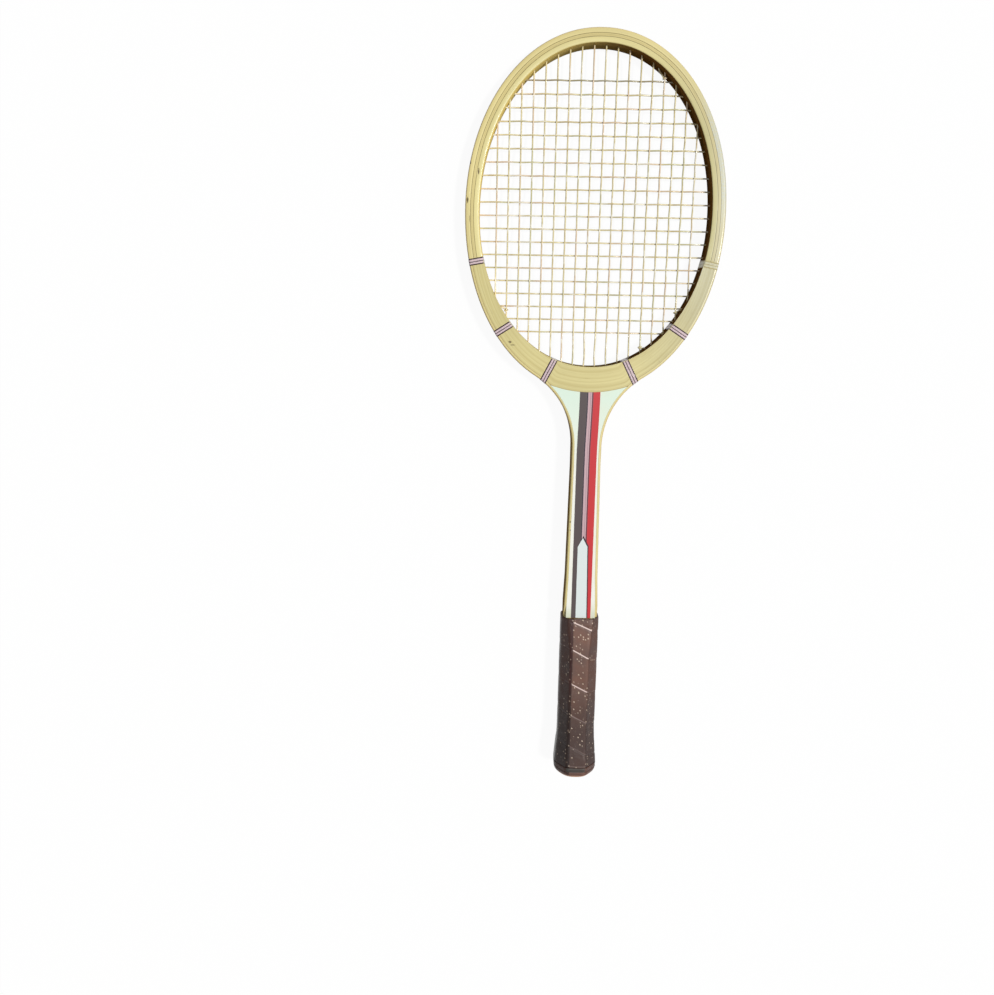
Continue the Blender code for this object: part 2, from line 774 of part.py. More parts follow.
class StringBed:
    """The places that the strings take from the frame, and the routes through them."""

    def __init__(self):
        self.opening = opening_points()
        self.opening.append(self.opening[0])
        self.groove = [inset(frame, LOOP_INSET) for frame in bend_frames() if frame.s > HANDLE_LENGTH]
        self.outline = [inset(frame, 0.0) for frame in bend_frames()]
        self.mains = [(index - (MAINS - 1) / 2) * MAIN_PITCH for index in range(MAINS)]
        self.crosses = [TOP_CROSS - index * CROSS_PITCH for index in range(CROSSES)]
        self.holes = {"main": [], "cross": []}

    def clear_of_wall(self, x, s):
        here, after = np.array(self.opening[:-1]), np.array(self.opening[1:])
        run = after - here
        share = ((np.array([x, s]) - here) * run).sum(axis=1) / (run**2).sum(axis=1)
        nearest = here + run * np.clip(share, 0, 1)[:, None]
        return np.hypot(*(nearest - (x, s)).T).min()

    def inside(self, x, s):
        left = at(self.opening, meet(self.opening, 1, s, False))[0]
        right = at(self.opening, meet(self.opening, 1, s, True))[0]
        return left < x < right

    def level(self, column, row):
        """The height of a main string where it crosses a cross string."""
        x, s = self.mains[column], self.crosses[row]
        near_wall = self.clear_of_wall(x, s) < NEAR_WALL
        return WEAVE_RISE if near_wall or (column + row) % 2 == 0 else -WEAVE_RISE

    def crossings(self, column=None, row=None):
        """The woven points of one main, from the top down, or of one cross, from the left."""
        points = []
        for j in range(CROSSES) if row is None else [row]:
            for i in range(MAINS) if column is None else [column]:
                x, s = self.mains[i], self.crosses[j]
                if self.inside(x, s):
                    sign = 1 if row is None else -1
                    points.append(np.array([x, s, sign * self.level(i, j)]))
        return points

    def bore(self, kind, mouth, exit_place, lane):
        """Records one hole, from just inside the opening to just outside the frame."""
        run = exit_place - mouth
        run = run / np.linalg.norm(run)
        start, end = mouth - run * 0.002, exit_place + run * 0.003
        self.holes[kind].append((start, end, lane))

    def main_end(self, column, top):
        """The mouth in the opening's wall and the place in the groove of one end of a main."""
        x = self.mains[column]
        mouth = at(self.opening, meet(self.opening, 0, x, top))
        place = meet(self.groove, 0, x, top) if top or abs(x) > 2 * MAIN_PITCH else None
        if place is None:
            drop = THROAT_EXITS[0] if abs(x) > MAIN_PITCH else THROAT_EXITS[1]
            place = meet(self.groove, 1, OPENING_FOOT - drop, x > 0)
        return mouth, place

    def cross_end(self, row, right):
        s = self.crosses[row]
        mouth = at(self.opening, meet(self.opening, 1, s, right))
        return mouth, meet(self.groove, 1, s, right)

    def loop(self, kind, lane, first, second):
        """The points from one string's end, out, along the groove, and in to the next."""
        (mouth_a, place_a), (mouth_b, place_b) = first, second
        for mouth, place in (first, second):
            self.bore(kind, mouth, at(self.groove, place), lane)
        path = [mouth_a, at(self.groove, place_a)]
        low, high = sorted((place_a, place_b))
        ends = path[1], at(self.groove, place_b)
        between = [np.array(self.groove[k]) for k in range(int(low) + 1, int(high) + 1)]
        between = [point for point in between if min(hypot(*(point - end)) for end in ends) > STRING_BEND * 3]
        if place_a > place_b:
            between.reverse()
        path += between + [ends[1], mouth_b]
        points = [path[0]]
        for index in range(1, len(path) - 1):
            if index in (1, len(path) - 2):
                points += rounded(path[index - 1], path[index], path[index + 1], STRING_BEND)
            else:
                points.append(path[index])
        points.append(path[-1])
        return [np.array([x, s, lane]) for x, s in points]

    def knot(self, column, start, side, rise):
        """A tail's end wound round a neighbouring main."""
        reach = STRING + WEAVE_GAP * 1.5
        count = round(KNOT_TURNS * 8)
        points = []
        for index in range(count + 1):
            angle = pi * (side < 0) + index * pi / 4
            x = self.mains[column] + reach * cos(angle)
            s = start + rise * index / 8
            level = self.height_on_main(column, s)
            points.append(np.array([x, s, level + reach * sin(angle)]))
        return points

    def tail(self, kind, lane, end, tie_x, top, column, start, rise):
        """The last stretch of a string: out, along the groove, back in, and round a main."""
        mouth = at(self.opening, meet(self.opening, 0, tie_x, top))
        place = meet(self.groove, 0, tie_x, top)
        points = self.loop(kind, lane, end, (mouth, place))
        side = tie_x - self.mains[column]
        return points + self.knot(column, start, side, rise)

    def height_on_main(self, column, s):
        woven = self.crossings(column=column)
        mouth_top, mouth_foot = (self.main_end(column, top)[0][1] for top in (True, False))
        stations = [mouth_foot] + [point[1] for point in reversed(woven)] + [mouth_top]
        heights = [LANE] + [point[2] for point in reversed(woven)] + [LANE]
        return float(np.interp(s, stations, heights))

    def main_route(self):
        tie = (self.mains[0] + self.mains[1]) / 2
        knot_at = self.crosses[-4] - KNOT_BELOW_CROSS
        rise = STRING + WEAVE_GAP * 1.5
        tails = []
        for column, neighbour, x in ((0, 1, tie), (MAINS - 1, MAINS - 2, -tie)):
            end = self.main_end(column, False)
            tails.append(self.tail("main", LANE, end, x, False, neighbour, knot_at, rise))
        route = tails[0][::-1]
        for column in range(MAINS):
            woven = self.crossings(column=column)
            route += woven[::-1] if column % 2 == 0 else woven
            if column < MAINS - 1:
                top = column % 2 == 0
                ends = self.main_end(column, top), self.main_end(column + 1, top)
                route += self.loop("main", LANE, *ends)
        return route + tails[1]

    def cross_route(self):
        neighbour = MAINS // 2 + 4
        tie = (self.mains[neighbour] + self.mains[neighbour + 1]) / 2
        rise = STRING + WEAVE_GAP * 1.5
        head = self.tail(
            "cross", -LANE, self.cross_end(0, True), tie, True, neighbour, TOP_CROSS + KNOT_ABOVE_CROSS, -rise
        )
        foot_mouth = at(self.opening, meet(self.opening, 0, tie, False))[1]
        foot = self.tail(
            "cross", -LANE, self.cross_end(CROSSES - 1, True), tie, False, neighbour, foot_mouth, rise
        )
        route = head[::-1]
        for row in range(CROSSES):
            woven = self.crossings(row=row)
            route += woven[::-1] if row % 2 == 0 else woven
            if row < CROSSES - 1:
                right = row % 2 == 1
                ends = self.cross_end(row, right), self.cross_end(row + 1, right)
                route += self.loop("cross", -LANE, *ends)
        return route + foot


def tube(name, route, finish):
    """A string as a curve with a round bevel, through the points of its route."""
    curve = bpy.data.curves.new(name, "CURVE")
    curve.dimensions = "3D"
    curve.bevel_depth = STRING / 2
    curve.bevel_resolution = 0
    curve.use_fill_caps = True
    spline = curve.splines.new("POLY")
    spline.points.add(len(route) - 1)
    for point, place in zip(spline.points, route):
        point.co = (*place, 1.0)
    curve.materials.append(material(finish))
    item = bpy.data.objects.new(name, curve)
    item.parent = carrier()
    bpy.context.collection.objects.link(item)
    return item


def least_gap(first, second):
    """The least distance between two routes' skins, measured on points along them."""

    def dense(route):
        points = [np.array(route[0])]
        for here, after in zip(route, route[1:]):
            steps = max(ceil(np.linalg.norm(after - here) / 0.0006), 1)
            points += [here + (after - here) * (k + 1) / steps for k in range(steps)]
        return np.array(points)

    one, other = dense(first), dense(second)
    least = min(np.linalg.norm(other - point, axis=1).min() for point in one)
    return 1000 * (least - STRING)


def hole_cutter(name, holes):
    shape = bmesh.new()
    for start, end, lane in holes:
        run = (end - start) / np.linalg.norm(end - start)
        flat = np.array([-run[1], run[0]]) * HOLE / 2
        rings = []
        for place in (start, end):
            ring = [(*(place + flat), lane), (*place, lane + HOLE / 2)]
            ring += [(*(place - flat), lane), (*place, lane - HOLE / 2)]
            rings.append(ring)
        loft(rings, shape=shape)
    return add_cutter(name, shape)


def make_strings():
    bed = StringBed()
    mains, crosses = bed.main_route(), bed.cross_route()
    tube("main_string", mains, "gut")
    tube("cross_string", crosses, "gut")
    print("strings, least gap between mains and crosses in mm:", least_gap(mains, crosses))
    return hole_cutter("main_holes", bed.holes["main"]), hole_cutter("cross_holes", bed.holes["cross"])


def build():
    clear_scene()
    outer, middle, inner = make_laminations()
    wedge = make_wedge()
    make_core()
    main_holes, cross_holes = make_strings()
    bevels = bevel_cutter()
    cut(outer, main_holes, cross_holes, bevels)
    cut(middle, main_holes, cross_holes, bevels)
    for piece in (inner, wedge):
        cut(piece, main_holes, cross_holes)
    make_veneers()
    make_pallet("handle_pallet_front", 1)
    make_pallet("handle_pallet_back", -1)
    make_butt_cap()
    make_grip()
    for place, degrees in WHIP_ANGLES.items():
        for name, side in (("left", -1), ("right", 1)):
            make_whipping(f"whipping_{place}_{name}", radians(degrees), side)


build()
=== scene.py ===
"""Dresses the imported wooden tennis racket: fine meshes, finishes, stage and camera."""

from math import asin, atan2, ceil, copysign, cos, hypot, pi, radians, sin, sqrt, tan

import bmesh
import bpy
import numpy as np
from mathutils import Matrix, Vector
from numpy.linalg import norm


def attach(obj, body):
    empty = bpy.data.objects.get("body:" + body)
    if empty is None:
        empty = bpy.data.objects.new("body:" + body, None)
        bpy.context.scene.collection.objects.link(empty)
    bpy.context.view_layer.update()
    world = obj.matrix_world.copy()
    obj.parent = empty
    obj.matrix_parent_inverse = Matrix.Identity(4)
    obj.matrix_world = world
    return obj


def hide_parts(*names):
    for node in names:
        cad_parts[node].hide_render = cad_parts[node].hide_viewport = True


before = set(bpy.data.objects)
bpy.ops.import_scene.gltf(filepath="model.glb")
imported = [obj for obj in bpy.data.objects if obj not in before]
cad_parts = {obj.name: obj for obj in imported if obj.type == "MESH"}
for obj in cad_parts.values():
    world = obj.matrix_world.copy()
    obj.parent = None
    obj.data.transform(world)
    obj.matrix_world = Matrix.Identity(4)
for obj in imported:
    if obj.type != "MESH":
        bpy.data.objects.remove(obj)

bl_info = {
    "name": "Wooden Tennis Racket",
    "version": (1, 0, 0),
    "blender": (4, 5, 0),
    "location": "View3D > Sidebar > Racket",
    "description": "Builds a strung wooden tennis racket around its packed solids",
    "category": "Add Mesh",
}

# Sizes in metres and counts of the solids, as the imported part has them
LENGTH = 0.6858
MID_HEIGHT = 0.0180
HALF_WIDTH = 0.1125
HEAD_FULLNESS = 2.06
TIP_REACH = 0.1500
BOW_REACH = 0.1548
BOW_GROWTH = 0.0107
BOW_DEPTH = 0.0226
SEAM_RADIUS = 0.1056
HALF_DEPTH = 0.00925
HEAD_CENTRE = LENGTH - TIP_REACH
OUTER_PLY = 0.0046
MIDDLE_PLY = 0.0024
INNER_PLY = 0.0044
GLUE_LINE = 0.0003
WALL = 0.0120
INNER_ROUND = 0.0010
SHOULDER_RADIUS = 0.0744
WAIST_HALF = 0.01385
HANDLE_HALF = 0.0161
HANDLE_LENGTH = 0.1660
HANDLE_HALF_DEPTH = 0.0137
BEVEL_SUM = 0.0212
PALLET_TAPER = 0.0340
PALLET_FALL = 0.00355
OPENING_FOOT = HEAD_CENTRE - BOW_REACH + WALL + BOW_GROWTH
SEAM_FOOT = OPENING_FOOT - BOW_DEPTH
VENEER_ANGLE = radians(74.6)
WHIP_ANGLES = {"upper": 74.6, "lower": 48.3, "throat": 20.8}
GROOVE_DEPTH = 0.0022
MAINS = 18
MAIN_PITCH = 0.01005
CROSSES = 20
CROSS_PITCH = 0.01116
TOP_CROSS = 0.6460
LANE = 0.00105
THROAT_EXITS = (0.0375, 0.0475)
NEAR_WALL = 0.0060
STRING_BEND = 0.0009
LEATHER = 0.0015
CAP_LENGTH = 0.0450
CAP_FLARE = 0.0025
CAP_SHOULDER = 0.0150
FACE_DROP = 0.27

# The dressed meshes' own sizes
STEP = 0.00002
SHAFT_STATIONS = (0.322, 0.312, 0.26, 0.22, 0.205, 0.19, 0.178, HANDLE_LENGTH)
HANDLE_STATIONS = (0.10, 0.046, 0.0455, 0.0045)
HANDLE_END = HANDLE_LENGTH + 0.001
HANDLE_LAYER_HALF = 0.0091
SHAVING = 0.0007
SHAVED = (0.178, 0.348)
SHAVED_ENDS = (0.027, 0.036)
UNDER_CAP = 0.0458
SUNK_UNDER_CAP = 0.0009
OUTER_ROUND = 0.0017
GROOVE_HALF = 0.0019
GROOVE_END = 0.346
MIDDLE_START = OUTER_PLY + 0.00012
INNER_START = OUTER_PLY + MIDDLE_PLY + 0.00054
VENEER_SEAT = 0.0008
VENEER = 0.0007
VENEER_FACES = {"front": (HALF_DEPTH - VENEER, HALF_DEPTH), "back": (VENEER - HALF_DEPTH, -HALF_DEPTH)}
STRING_HOLE = 0.0021
HOLE_OVERRUNS = (0.002, 0.003)
LOOP_INSET = 0.0011
LONGEST_BEND = 0.0030
STRING_STEP = 0.0024
WEAVE_GAP = 0.00022
KNOT_TURNS = 1.0
KNOT_PITCH = 1.25
KNOT_REACH = 1.04
SIDE_KNOT_DROP = 0.0026
TOP_KNOT_RISE = 0.0036
GRIP_TOP = 0.1657
GRIP_BOTTOM = 0.0150
GRIP_CORNER = 0.0018
SEAM_GAP = 0.00012

# The photograph's camera, in pixels of its 994 x 995 frame and in metres
FRAME_PIXELS = (994, 995)
FOCAL_PIXELS = 735.28
CENTRE_PIXEL = (502.6, 429.0)
CAMERA_PLACE = (-0.07098, 0.45989, 0.66620)
CAMERA_TURNS = (9.806, -0.674, -0.994)

PLAIN = (1.0, 1.0, 1.0, 1.0)
STAGE_SIZE = 14.0


def srgb(red, green, blue):
    """A colour given as 0 to 255 display values, in the linear values that shaders take."""
    channels = []
    for value in (red, green, blue):
        share = value / 255
        channels.append(share / 12.92 if share <= 0.04045 else ((share + 0.055) / 1.055) ** 2.4)
    return (*channels, 1.0)


def place(x, s, z):
    """A place on the racket, with s from the butt and z from the string bed, in the part's frame."""
    return (x, s - LENGTH / 2, z + MID_HEIGHT)


# Settings that a user would change


class RacketFrameSettings(bpy.types.PropertyGroup):
    edge_radius: bpy.props.FloatProperty(
        name="Edge radius",
        description="Rounding of the hoop's outer edges",
        default=OUTER_ROUND,
        unit="LENGTH",
    )
    veneer_inset: bpy.props.FloatProperty(
        name="Veneer inset",
        description="Bare edge left outside the veneers",
        default=0.0024,
        unit="LENGTH",
    )
    wood: bpy.props.FloatVectorProperty(
        name="Wood",
        description="Colour of the varnished layers",
        default=srgb(238, 222, 156)[:3],
        subtype="COLOR",
    )


class RacketStringSettings(bpy.types.PropertyGroup):
    thickness: bpy.props.FloatProperty(
        name="Thickness",
        description="Diameter of the strings",
        default=0.00135,
        unit="LENGTH",
    )
    colour: bpy.props.FloatVectorProperty(
        name="Colour",
        description="Colour of the gut",
        default=srgb(236, 222, 172)[:3],
        subtype="COLOR",
    )


class RacketGripSettings(bpy.types.PropertyGroup):
    pitch: bpy.props.FloatProperty(
        name="Pitch",
        description="Distance along the handle from one turn to the next",
        default=0.0323,
        unit="LENGTH",
    )
    leather: bpy.props.FloatVectorProperty(
        name="Leather",
        description="Colour of the leather strip",
        default=srgb(110, 79, 68)[:3],
        subtype="COLOR",
    )


# Mesh tools


def linked(name, data):
    """A new object in the scene's collection."""
    made = bpy.data.objects.new(name, data)
    bpy.context.collection.objects.link(made)
    return made


def piece(name, shape, finish, stands_for, angle=35):
    """One dressed piece on the racket's body, which stands for one solid of the part."""
    mesh = bpy.data.meshes.new(name)
    if isinstance(shape, bmesh.types.BMesh):
        bmesh.ops.recalc_face_normals(shape, faces=shape.faces)
        shape.to_mesh(mesh)
        shape.free()
    else:
        mesh = shape
        mesh.name = name
    mesh.shade_smooth()
    mesh.set_sharp_from_angle(angle=radians(angle))
    if not mesh.materials:
        mesh.materials.append(finish)
    if mesh.uv_layers:
        mesh.uv_layers[0].name = "grain"
    return dress(linked(name, mesh), stands_for)


def dress(made, stands_for):
    """Puts an object on the racket's body, in place of one solid."""
    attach(made, "root")
    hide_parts(stands_for)
    return made


def loft(rings, closed=False, wrap=None, shape=None):
    """Quads through equal rings of points, with a grain map of what wrap gives for each point."""
    shape = shape or bmesh.new()
    grain = shape.loops.layers.uv.verify()
    rows = [[shape.verts.new(place(*point)) for point in ring] for ring in rings]
    count, sides = len(rows), len(rings[0])
    for row in range(count if closed else count - 1):
        after = (row + 1) % count
        for side in range(sides):
            step = (side + 1) % sides
            face = shape.faces.new((rows[row][side], rows[row][step], rows[after][step], rows[after][side]))
            if wrap:
                corners = ((row, side), (row, side + 1), (row + 1, side + 1), (row + 1, side))
                for loop, (r, k) in zip(face.loops, corners):
                    loop[grain].uv = wrap(r, k)
    if not closed:
        for ends in (rows[0][::-1], rows[-1]):
            shape.faces.new(ends)
    return shape


def cut_away(shape, cutters):
    """The shape less the cutters, as a mesh."""
    helpers = []
    for number, source in enumerate([shape, *cutters]):
        bmesh.ops.recalc_face_normals(source, faces=source.faces)
        mesh = bpy.data.meshes.new(f"work_{number}")
        source.to_mesh(mesh)
        helpers.append(linked(f"work_{number}", mesh))
    for cutter in helpers[1:]:
        boolean = helpers[0].modifiers.new(cutter.name, "BOOLEAN")
        boolean.object = cutter
    graph = bpy.context.evaluated_depsgraph_get()
    result = bpy.data.meshes.new_from_object(helpers[0].evaluated_get(graph))
    for helper in helpers:
        bpy.data.objects.remove(helper, do_unlink=True)
    return result


# The outline of the frame, as (x, s, nx, ns) with the outward normal


def head_place(theta):
    """A place on the head's outline, theta round from its foot, with the outward normal."""
    reach = BOW_REACH if cos(theta) > 0 else TIP_REACH
    power = 2 / HEAD_FULLNESS
    across = copysign(abs(sin(theta)) ** power, sin(theta))
    along = copysign(abs(cos(theta)) ** power, cos(theta))
    nx = copysign(abs(sin(theta)) ** (2 - power), sin(theta)) / HALF_WIDTH
    ns = -copysign(abs(cos(theta)) ** (2 - power), cos(theta)) / reach
    size = hypot(nx, ns)
    return (HALF_WIDTH * across, HEAD_CENTRE - reach * along, nx / size, ns / size)


def inset(spot, depth):
    return spot[0] - spot[2] * depth, spot[1] - spot[3] * depth


def bow_growth(theta):
    return BOW_GROWTH * max(cos(theta), 0.0) ** 2


def opening_edge(thetas):
    """The edge of the opening at each angle."""
    return [inset(head_place(theta), WALL + bow_growth(theta)) for theta in thetas]


def mirrored(edge):
    """The right half of an edge with its left half after it."""
    return edge + [(-x, s) for x, s in edge[-2::-1]]


def shoulder_start():
    """Where the shoulder's arc leaves the head, touching both it and the waist."""
    low, high = radians(2), radians(80)
    for _ in range(60):
        middle = (low + high) / 2
        spot = head_place(middle)
        if spot[0] + SHOULDER_RADIUS * spot[2] > WAIST_HALF + SHOULDER_RADIUS:
            high = middle
        else:
            low = middle
    return low


SHOULDER_LEAVE = shoulder_start()


def right_side(steps=90, arc=20):
    """The outline's right side from the tip of the head to the waist."""
    spots = [head_place(pi - (pi - SHOULDER_LEAVE) * k / steps) for k in range(steps)]
    start = head_place(SHOULDER_LEAVE)
    centre = start[0] + SHOULDER_RADIUS * start[2], start[1] + SHOULDER_RADIUS * start[3]
    turn = atan2(-start[3], start[2])
    for k in range(arc + 1):
        angle = turn * (1 - k / arc)
        nx, ns = cos(angle), -sin(angle)
        spots.append((centre[0] - SHOULDER_RADIUS * nx, centre[1] - SHOULDER_RADIUS * ns, nx, ns))
    return spots


RIGHT_SIDE = right_side()
WAIST = RIGHT_SIDE[-1][1]


def shaft_spots(stations):
    """The straight run of the shaft below the waist."""
    spots = []
    for station in stations:
        share = min((WAIST - station) / (WAIST - HANDLE_LENGTH), 1.0)
        spots.append((WAIST_HALF + (HANDLE_HALF - WAIST_HALF) * share, station, 1.0, 0.0))
    return spots


def slim(station):
    """How far the finished shaft is shaved back from the outline between the shoulder and the grip."""
    ends = (SHAVED[1] - station) / SHAVED_ENDS[1], (station - SHAVED[0]) / SHAVED_ENDS[0]
    shares = [min(max(end, 0.0), 1.0) for end in ends]
    return SHAVING * shares[0] * shares[1]


def full_outline():
    right = RIGHT_SIDE + shaft_spots(SHAFT_STATIONS + HANDLE_STATIONS)
    return [(-x, s, -nx, ns) for x, s, nx, ns in reversed(right[1:])] + right


def lengths(points):
    total, found = 0.0, [0.0]
    for here, after in zip(points, points[1:]):
        total += hypot(after[0] - here[0], after[1] - here[1])
        found.append(total)
    return found


def quarter_round(steps):
    """The steps of a rounded edge, as shares of its radius inward and downward."""
    angles = [pi / 2 * k / steps for k in range(steps + 1)]
    return [(1 - cos(angle), 1 - sin(angle)) for angle in angles]


def mirror_half(half):
    return half + [(depth, -height) for depth, height in reversed(half)]


def sweep(spots, section_of, closed=False):
    """A layer of the frame: its section carried along the outline, with its grain mapped."""
    sections = [section_of(spot) for spot in spots]
    rings = [[(*inset(spot, d), z) for d, z in section] for spot, section in zip(spots, sections)]
    run = lengths([inset(spot, OUTER_PLY) for spot in spots])
    run.append(run[-1] * 2 - run[-2])

    def wrap(row, side):
        section = sections[row % len(sections)]
        depth, height = section[side % len(section)]
        return run[row], depth

    return loft(rings, closed, wrap)


# Strings


def meet(path, axis, value, highest):
    found = []
    for index in range(len(path) - 1):
        low, high = path[index][axis], path[index + 1][axis]
        if (low - value) * (high - value) <= 0 and low != high:
            share = (value - low) / (high - low)
            other = path[index][1 - axis] + share * (path[index + 1][1 - axis] - path[index][1 - axis])
            found.append((other, index + share))
    return max(found)[1] if highest else min(found)[1]


def at(path, spot):
    index = min(int(spot), len(path) - 2)
    here, after = np.array(path[index]), np.array(path[index + 1])
    return here + (after - here) * (spot - index)


class StringBed:
    """The woven routes of the two strings through the frame's holes."""

    def __init__(self, thickness):
        self.thickness = thickness
        self.rise = (thickness + WEAVE_GAP) / 2
        self.opening = opening_edge([2 * pi * k / 240 for k in range(241)])
        self.groove = [inset(spot, LOOP_INSET) for spot in full_outline() if spot[1] > HANDLE_LENGTH]
        self.mains = [(k - (MAINS - 1) / 2) * MAIN_PITCH for k in range(MAINS)]
        self.crosses = [TOP_CROSS - k * CROSS_PITCH for k in range(CROSSES)]
        self.holes = []

    def reach(self, axis, value):
        return [at(self.opening, meet(self.opening, axis, value, high))[1 - axis] for high in (False, True)]

    def level(self, column, row):
        x, s = self.mains[column], self.crosses[row]
        away = np.hypot(*(np.array(self.opening) - (x, s)).T).min()
        up = away < NEAR_WALL or (column + row) % 2 == 0
        return self.rise if up else -self.rise

    def woven(self, column=None, row=None):
        points = []
        for j in range(CROSSES) if row is None else [row]:
            for i in range(MAINS) if column is None else [column]:
                x, s = self.mains[i], self.crosses[j]
                low, high = self.reach(1, s)
                if low < x < high:
                    points.append(np.array([x, s, self.level(i, j) * (1 if row is None else -1)]))
        return points

    def end(self, kind, index, far):
        """The mouth in the opening's wall and the spot in the groove of one end of a string."""
        axis, value = (0, self.mains[index]) if kind == "main" else (1, self.crosses[index])
        mouth = at(self.opening, meet(self.opening, axis, value, far))
        if kind == "main" and not far and abs(value) < 2 * MAIN_PITCH:
            drop = THROAT_EXITS[0] if abs(value) > MAIN_PITCH else THROAT_EXITS[1]
            return mouth, meet(self.groove, 1, OPENING_FOOT - drop, value > 0)
        return mouth, meet(self.groove, axis, value, far)

    def loop(self, lane, first, second):
        for mouth, spot in (first, second):
            self.holes.append((mouth, at(self.groove, spot), lane))
        (mouth_a, spot_a), (mouth_b, spot_b) = first, second
        ends = at(self.groove, spot_a), at(self.groove, spot_b)
        low, high = sorted((spot_a, spot_b))
        between = [np.array(self.groove[k]) for k in range(int(low) + 1, int(high) + 1)]
        between = [p for p in between if min(hypot(*(p - end)) for end in ends) > STRING_BEND * 3]
        if spot_a > spot_b:
            between.reverse()
        points = [mouth_a]
        path = [mouth_a, ends[0], *between, ends[1], mouth_b]
        for index in (1, len(path) - 2):
            into, out = path[index] - path[index - 1], path[index + 1] - path[index]
            into, out = into / norm(into), out / norm(out)
            corner = path[index]
            trim = min(STRING_BEND * tan(np.arccos(np.clip(into @ out, -1, 1)) / 2), LONGEST_BEND)
            for share in (0.0, 0.25, 0.5, 0.75, 1.0):
                start, stop = corner - into * trim, corner + out * trim
                points.append(start * (1 - share) ** 2 + corner * 2 * share * (1 - share) + stop * share**2)
            if index == 1:
                points += between
        points.append(mouth_b)
        return [np.array([x, s, lane]) for x, s in points]

    def height_on_main(self, column, s):
        woven = self.woven(column=column)[::-1]
        low, high = self.reach(0, self.mains[column])
        stations = [low] + [point[1] for point in woven] + [high]
        return float(np.interp(s, stations, [LANE] + [point[2] for point in woven] + [LANE]))

    def tail(self, lane, end, tie, far, column, start, rise):
        """A string's last stretch: out, along the groove, back in, and round a main."""
        mouth = at(self.opening, meet(self.opening, 0, tie, far))
        points = self.loop(lane, end, (mouth, meet(self.groove, 0, tie, far)))
        reach = self.thickness * KNOT_REACH
        for index in range(round(KNOT_TURNS * 12) + 1):
            angle = pi * (tie < self.mains[column]) + index * pi / 6
            s = start + rise * index / 12
            height = self.height_on_main(column, s) + reach * sin(angle)
            points.append(np.array([self.mains[column] + reach * cos(angle), s, height]))
        return points

    def routes(self):
        pitch = self.thickness * KNOT_PITCH
        sides = []
        for column, neighbour in ((0, 1), (MAINS - 1, MAINS - 2)):
            tie = (self.mains[column] + self.mains[neighbour]) / 2
            start = self.crosses[-3] - SIDE_KNOT_DROP
            end = self.end("main", column, False)
            sides.append(self.tail(LANE, end, tie, False, neighbour, start, -pitch))
        mains = sides[0][::-1]
        for column in range(MAINS):
            woven = self.woven(column=column)
            mains += woven[::-1] if column % 2 == 0 else woven
            if column < MAINS - 1:
                far = column % 2 == 0
                mains += self.loop(LANE, self.end("main", column, far), self.end("main", column + 1, far))
        mains += sides[1]
        near = MAINS // 2 + 4
        tie = (self.mains[near] + self.mains[near + 1]) / 2
        foot = self.reach(0, tie)[0]
        last = self.end("cross", CROSSES - 1, True)
        first = self.end("cross", 0, True)
        start = TOP_CROSS + TOP_KNOT_RISE
        crosses = self.tail(-LANE, first, tie, True, near + 1, start, -pitch)[::-1]
        for row in range(CROSSES):
            woven = self.woven(row=row)
            crosses += woven[::-1] if row % 2 == 0 else woven
            if row < CROSSES - 1:
                far = row % 2 == 1
                crosses += self.loop(-LANE, self.end("cross", row, far), self.end("cross", row + 1, far))
        return mains, crosses + self.tail(-LANE, last, tie, False, near, foot, pitch)

    def hole_cutter(self, size):
        shape = bmesh.new()
        for mouth, end, lane in self.holes:
            run = (end - mouth) / norm(end - mouth)
            flat = np.array([-run[1], run[0]])
            rings = []
            for spot in (mouth - run * HOLE_OVERRUNS[0], end + run * HOLE_OVERRUNS[1]):
                ring = []
                for k in range(10):
                    turn = 2 * pi * (k + 0.5) / 10
                    x, s = spot + flat * cos(turn) * size / 2
                    ring.append((x, s, lane + sin(turn) * size / 2))
                rings.append(ring)
            loft(rings, shape=shape)
        return shape


def softened(route, most):
    """The route with points added on a smooth curve wherever two are more than most apart."""
    points = [np.array(point) for point in route]
    padded = [points[0] * 2 - points[1], *points, points[-1] * 2 - points[-2]]
    found = []
    for before, here, after, beyond in zip(padded, padded[1:], padded[2:], padded[3:]):
        size = norm(after - here)
        steps = max(1, min(4, ceil(size / most)))
        into = (after - before) / max(norm(after - before), 1e-9) * size
        out = (beyond - here) / max(norm(beyond - here), 1e-9) * size
        for k in range(steps):
            t = k / steps
            a, b = 2 * t**3 - 3 * t**2 + 1, t**3 - 2 * t**2 + t
            c, d = 3 * t**2 - 2 * t**3, t**3 - t**2
            found.append(here * a + into * b + after * c + out * d)
    found.append(points[-1])
    return found


def string_curve(name, route, thickness, finish):
    curve = bpy.data.curves.new(name, "CURVE")
    curve.dimensions = "3D"
    curve.bevel_depth = thickness / 2
    curve.bevel_resolution = 2
    curve.use_fill_caps = True
    spline = curve.splines.new("POLY")
    spline.points.add(len(route) - 1)
    for point, spot in zip(spline.points, route):
        point.co = (*place(*spot), 1.0)
    curve.materials.append(finish)
    return dress(linked(name, curve), name.replace("strung_", "") + "_string")


# Node tools


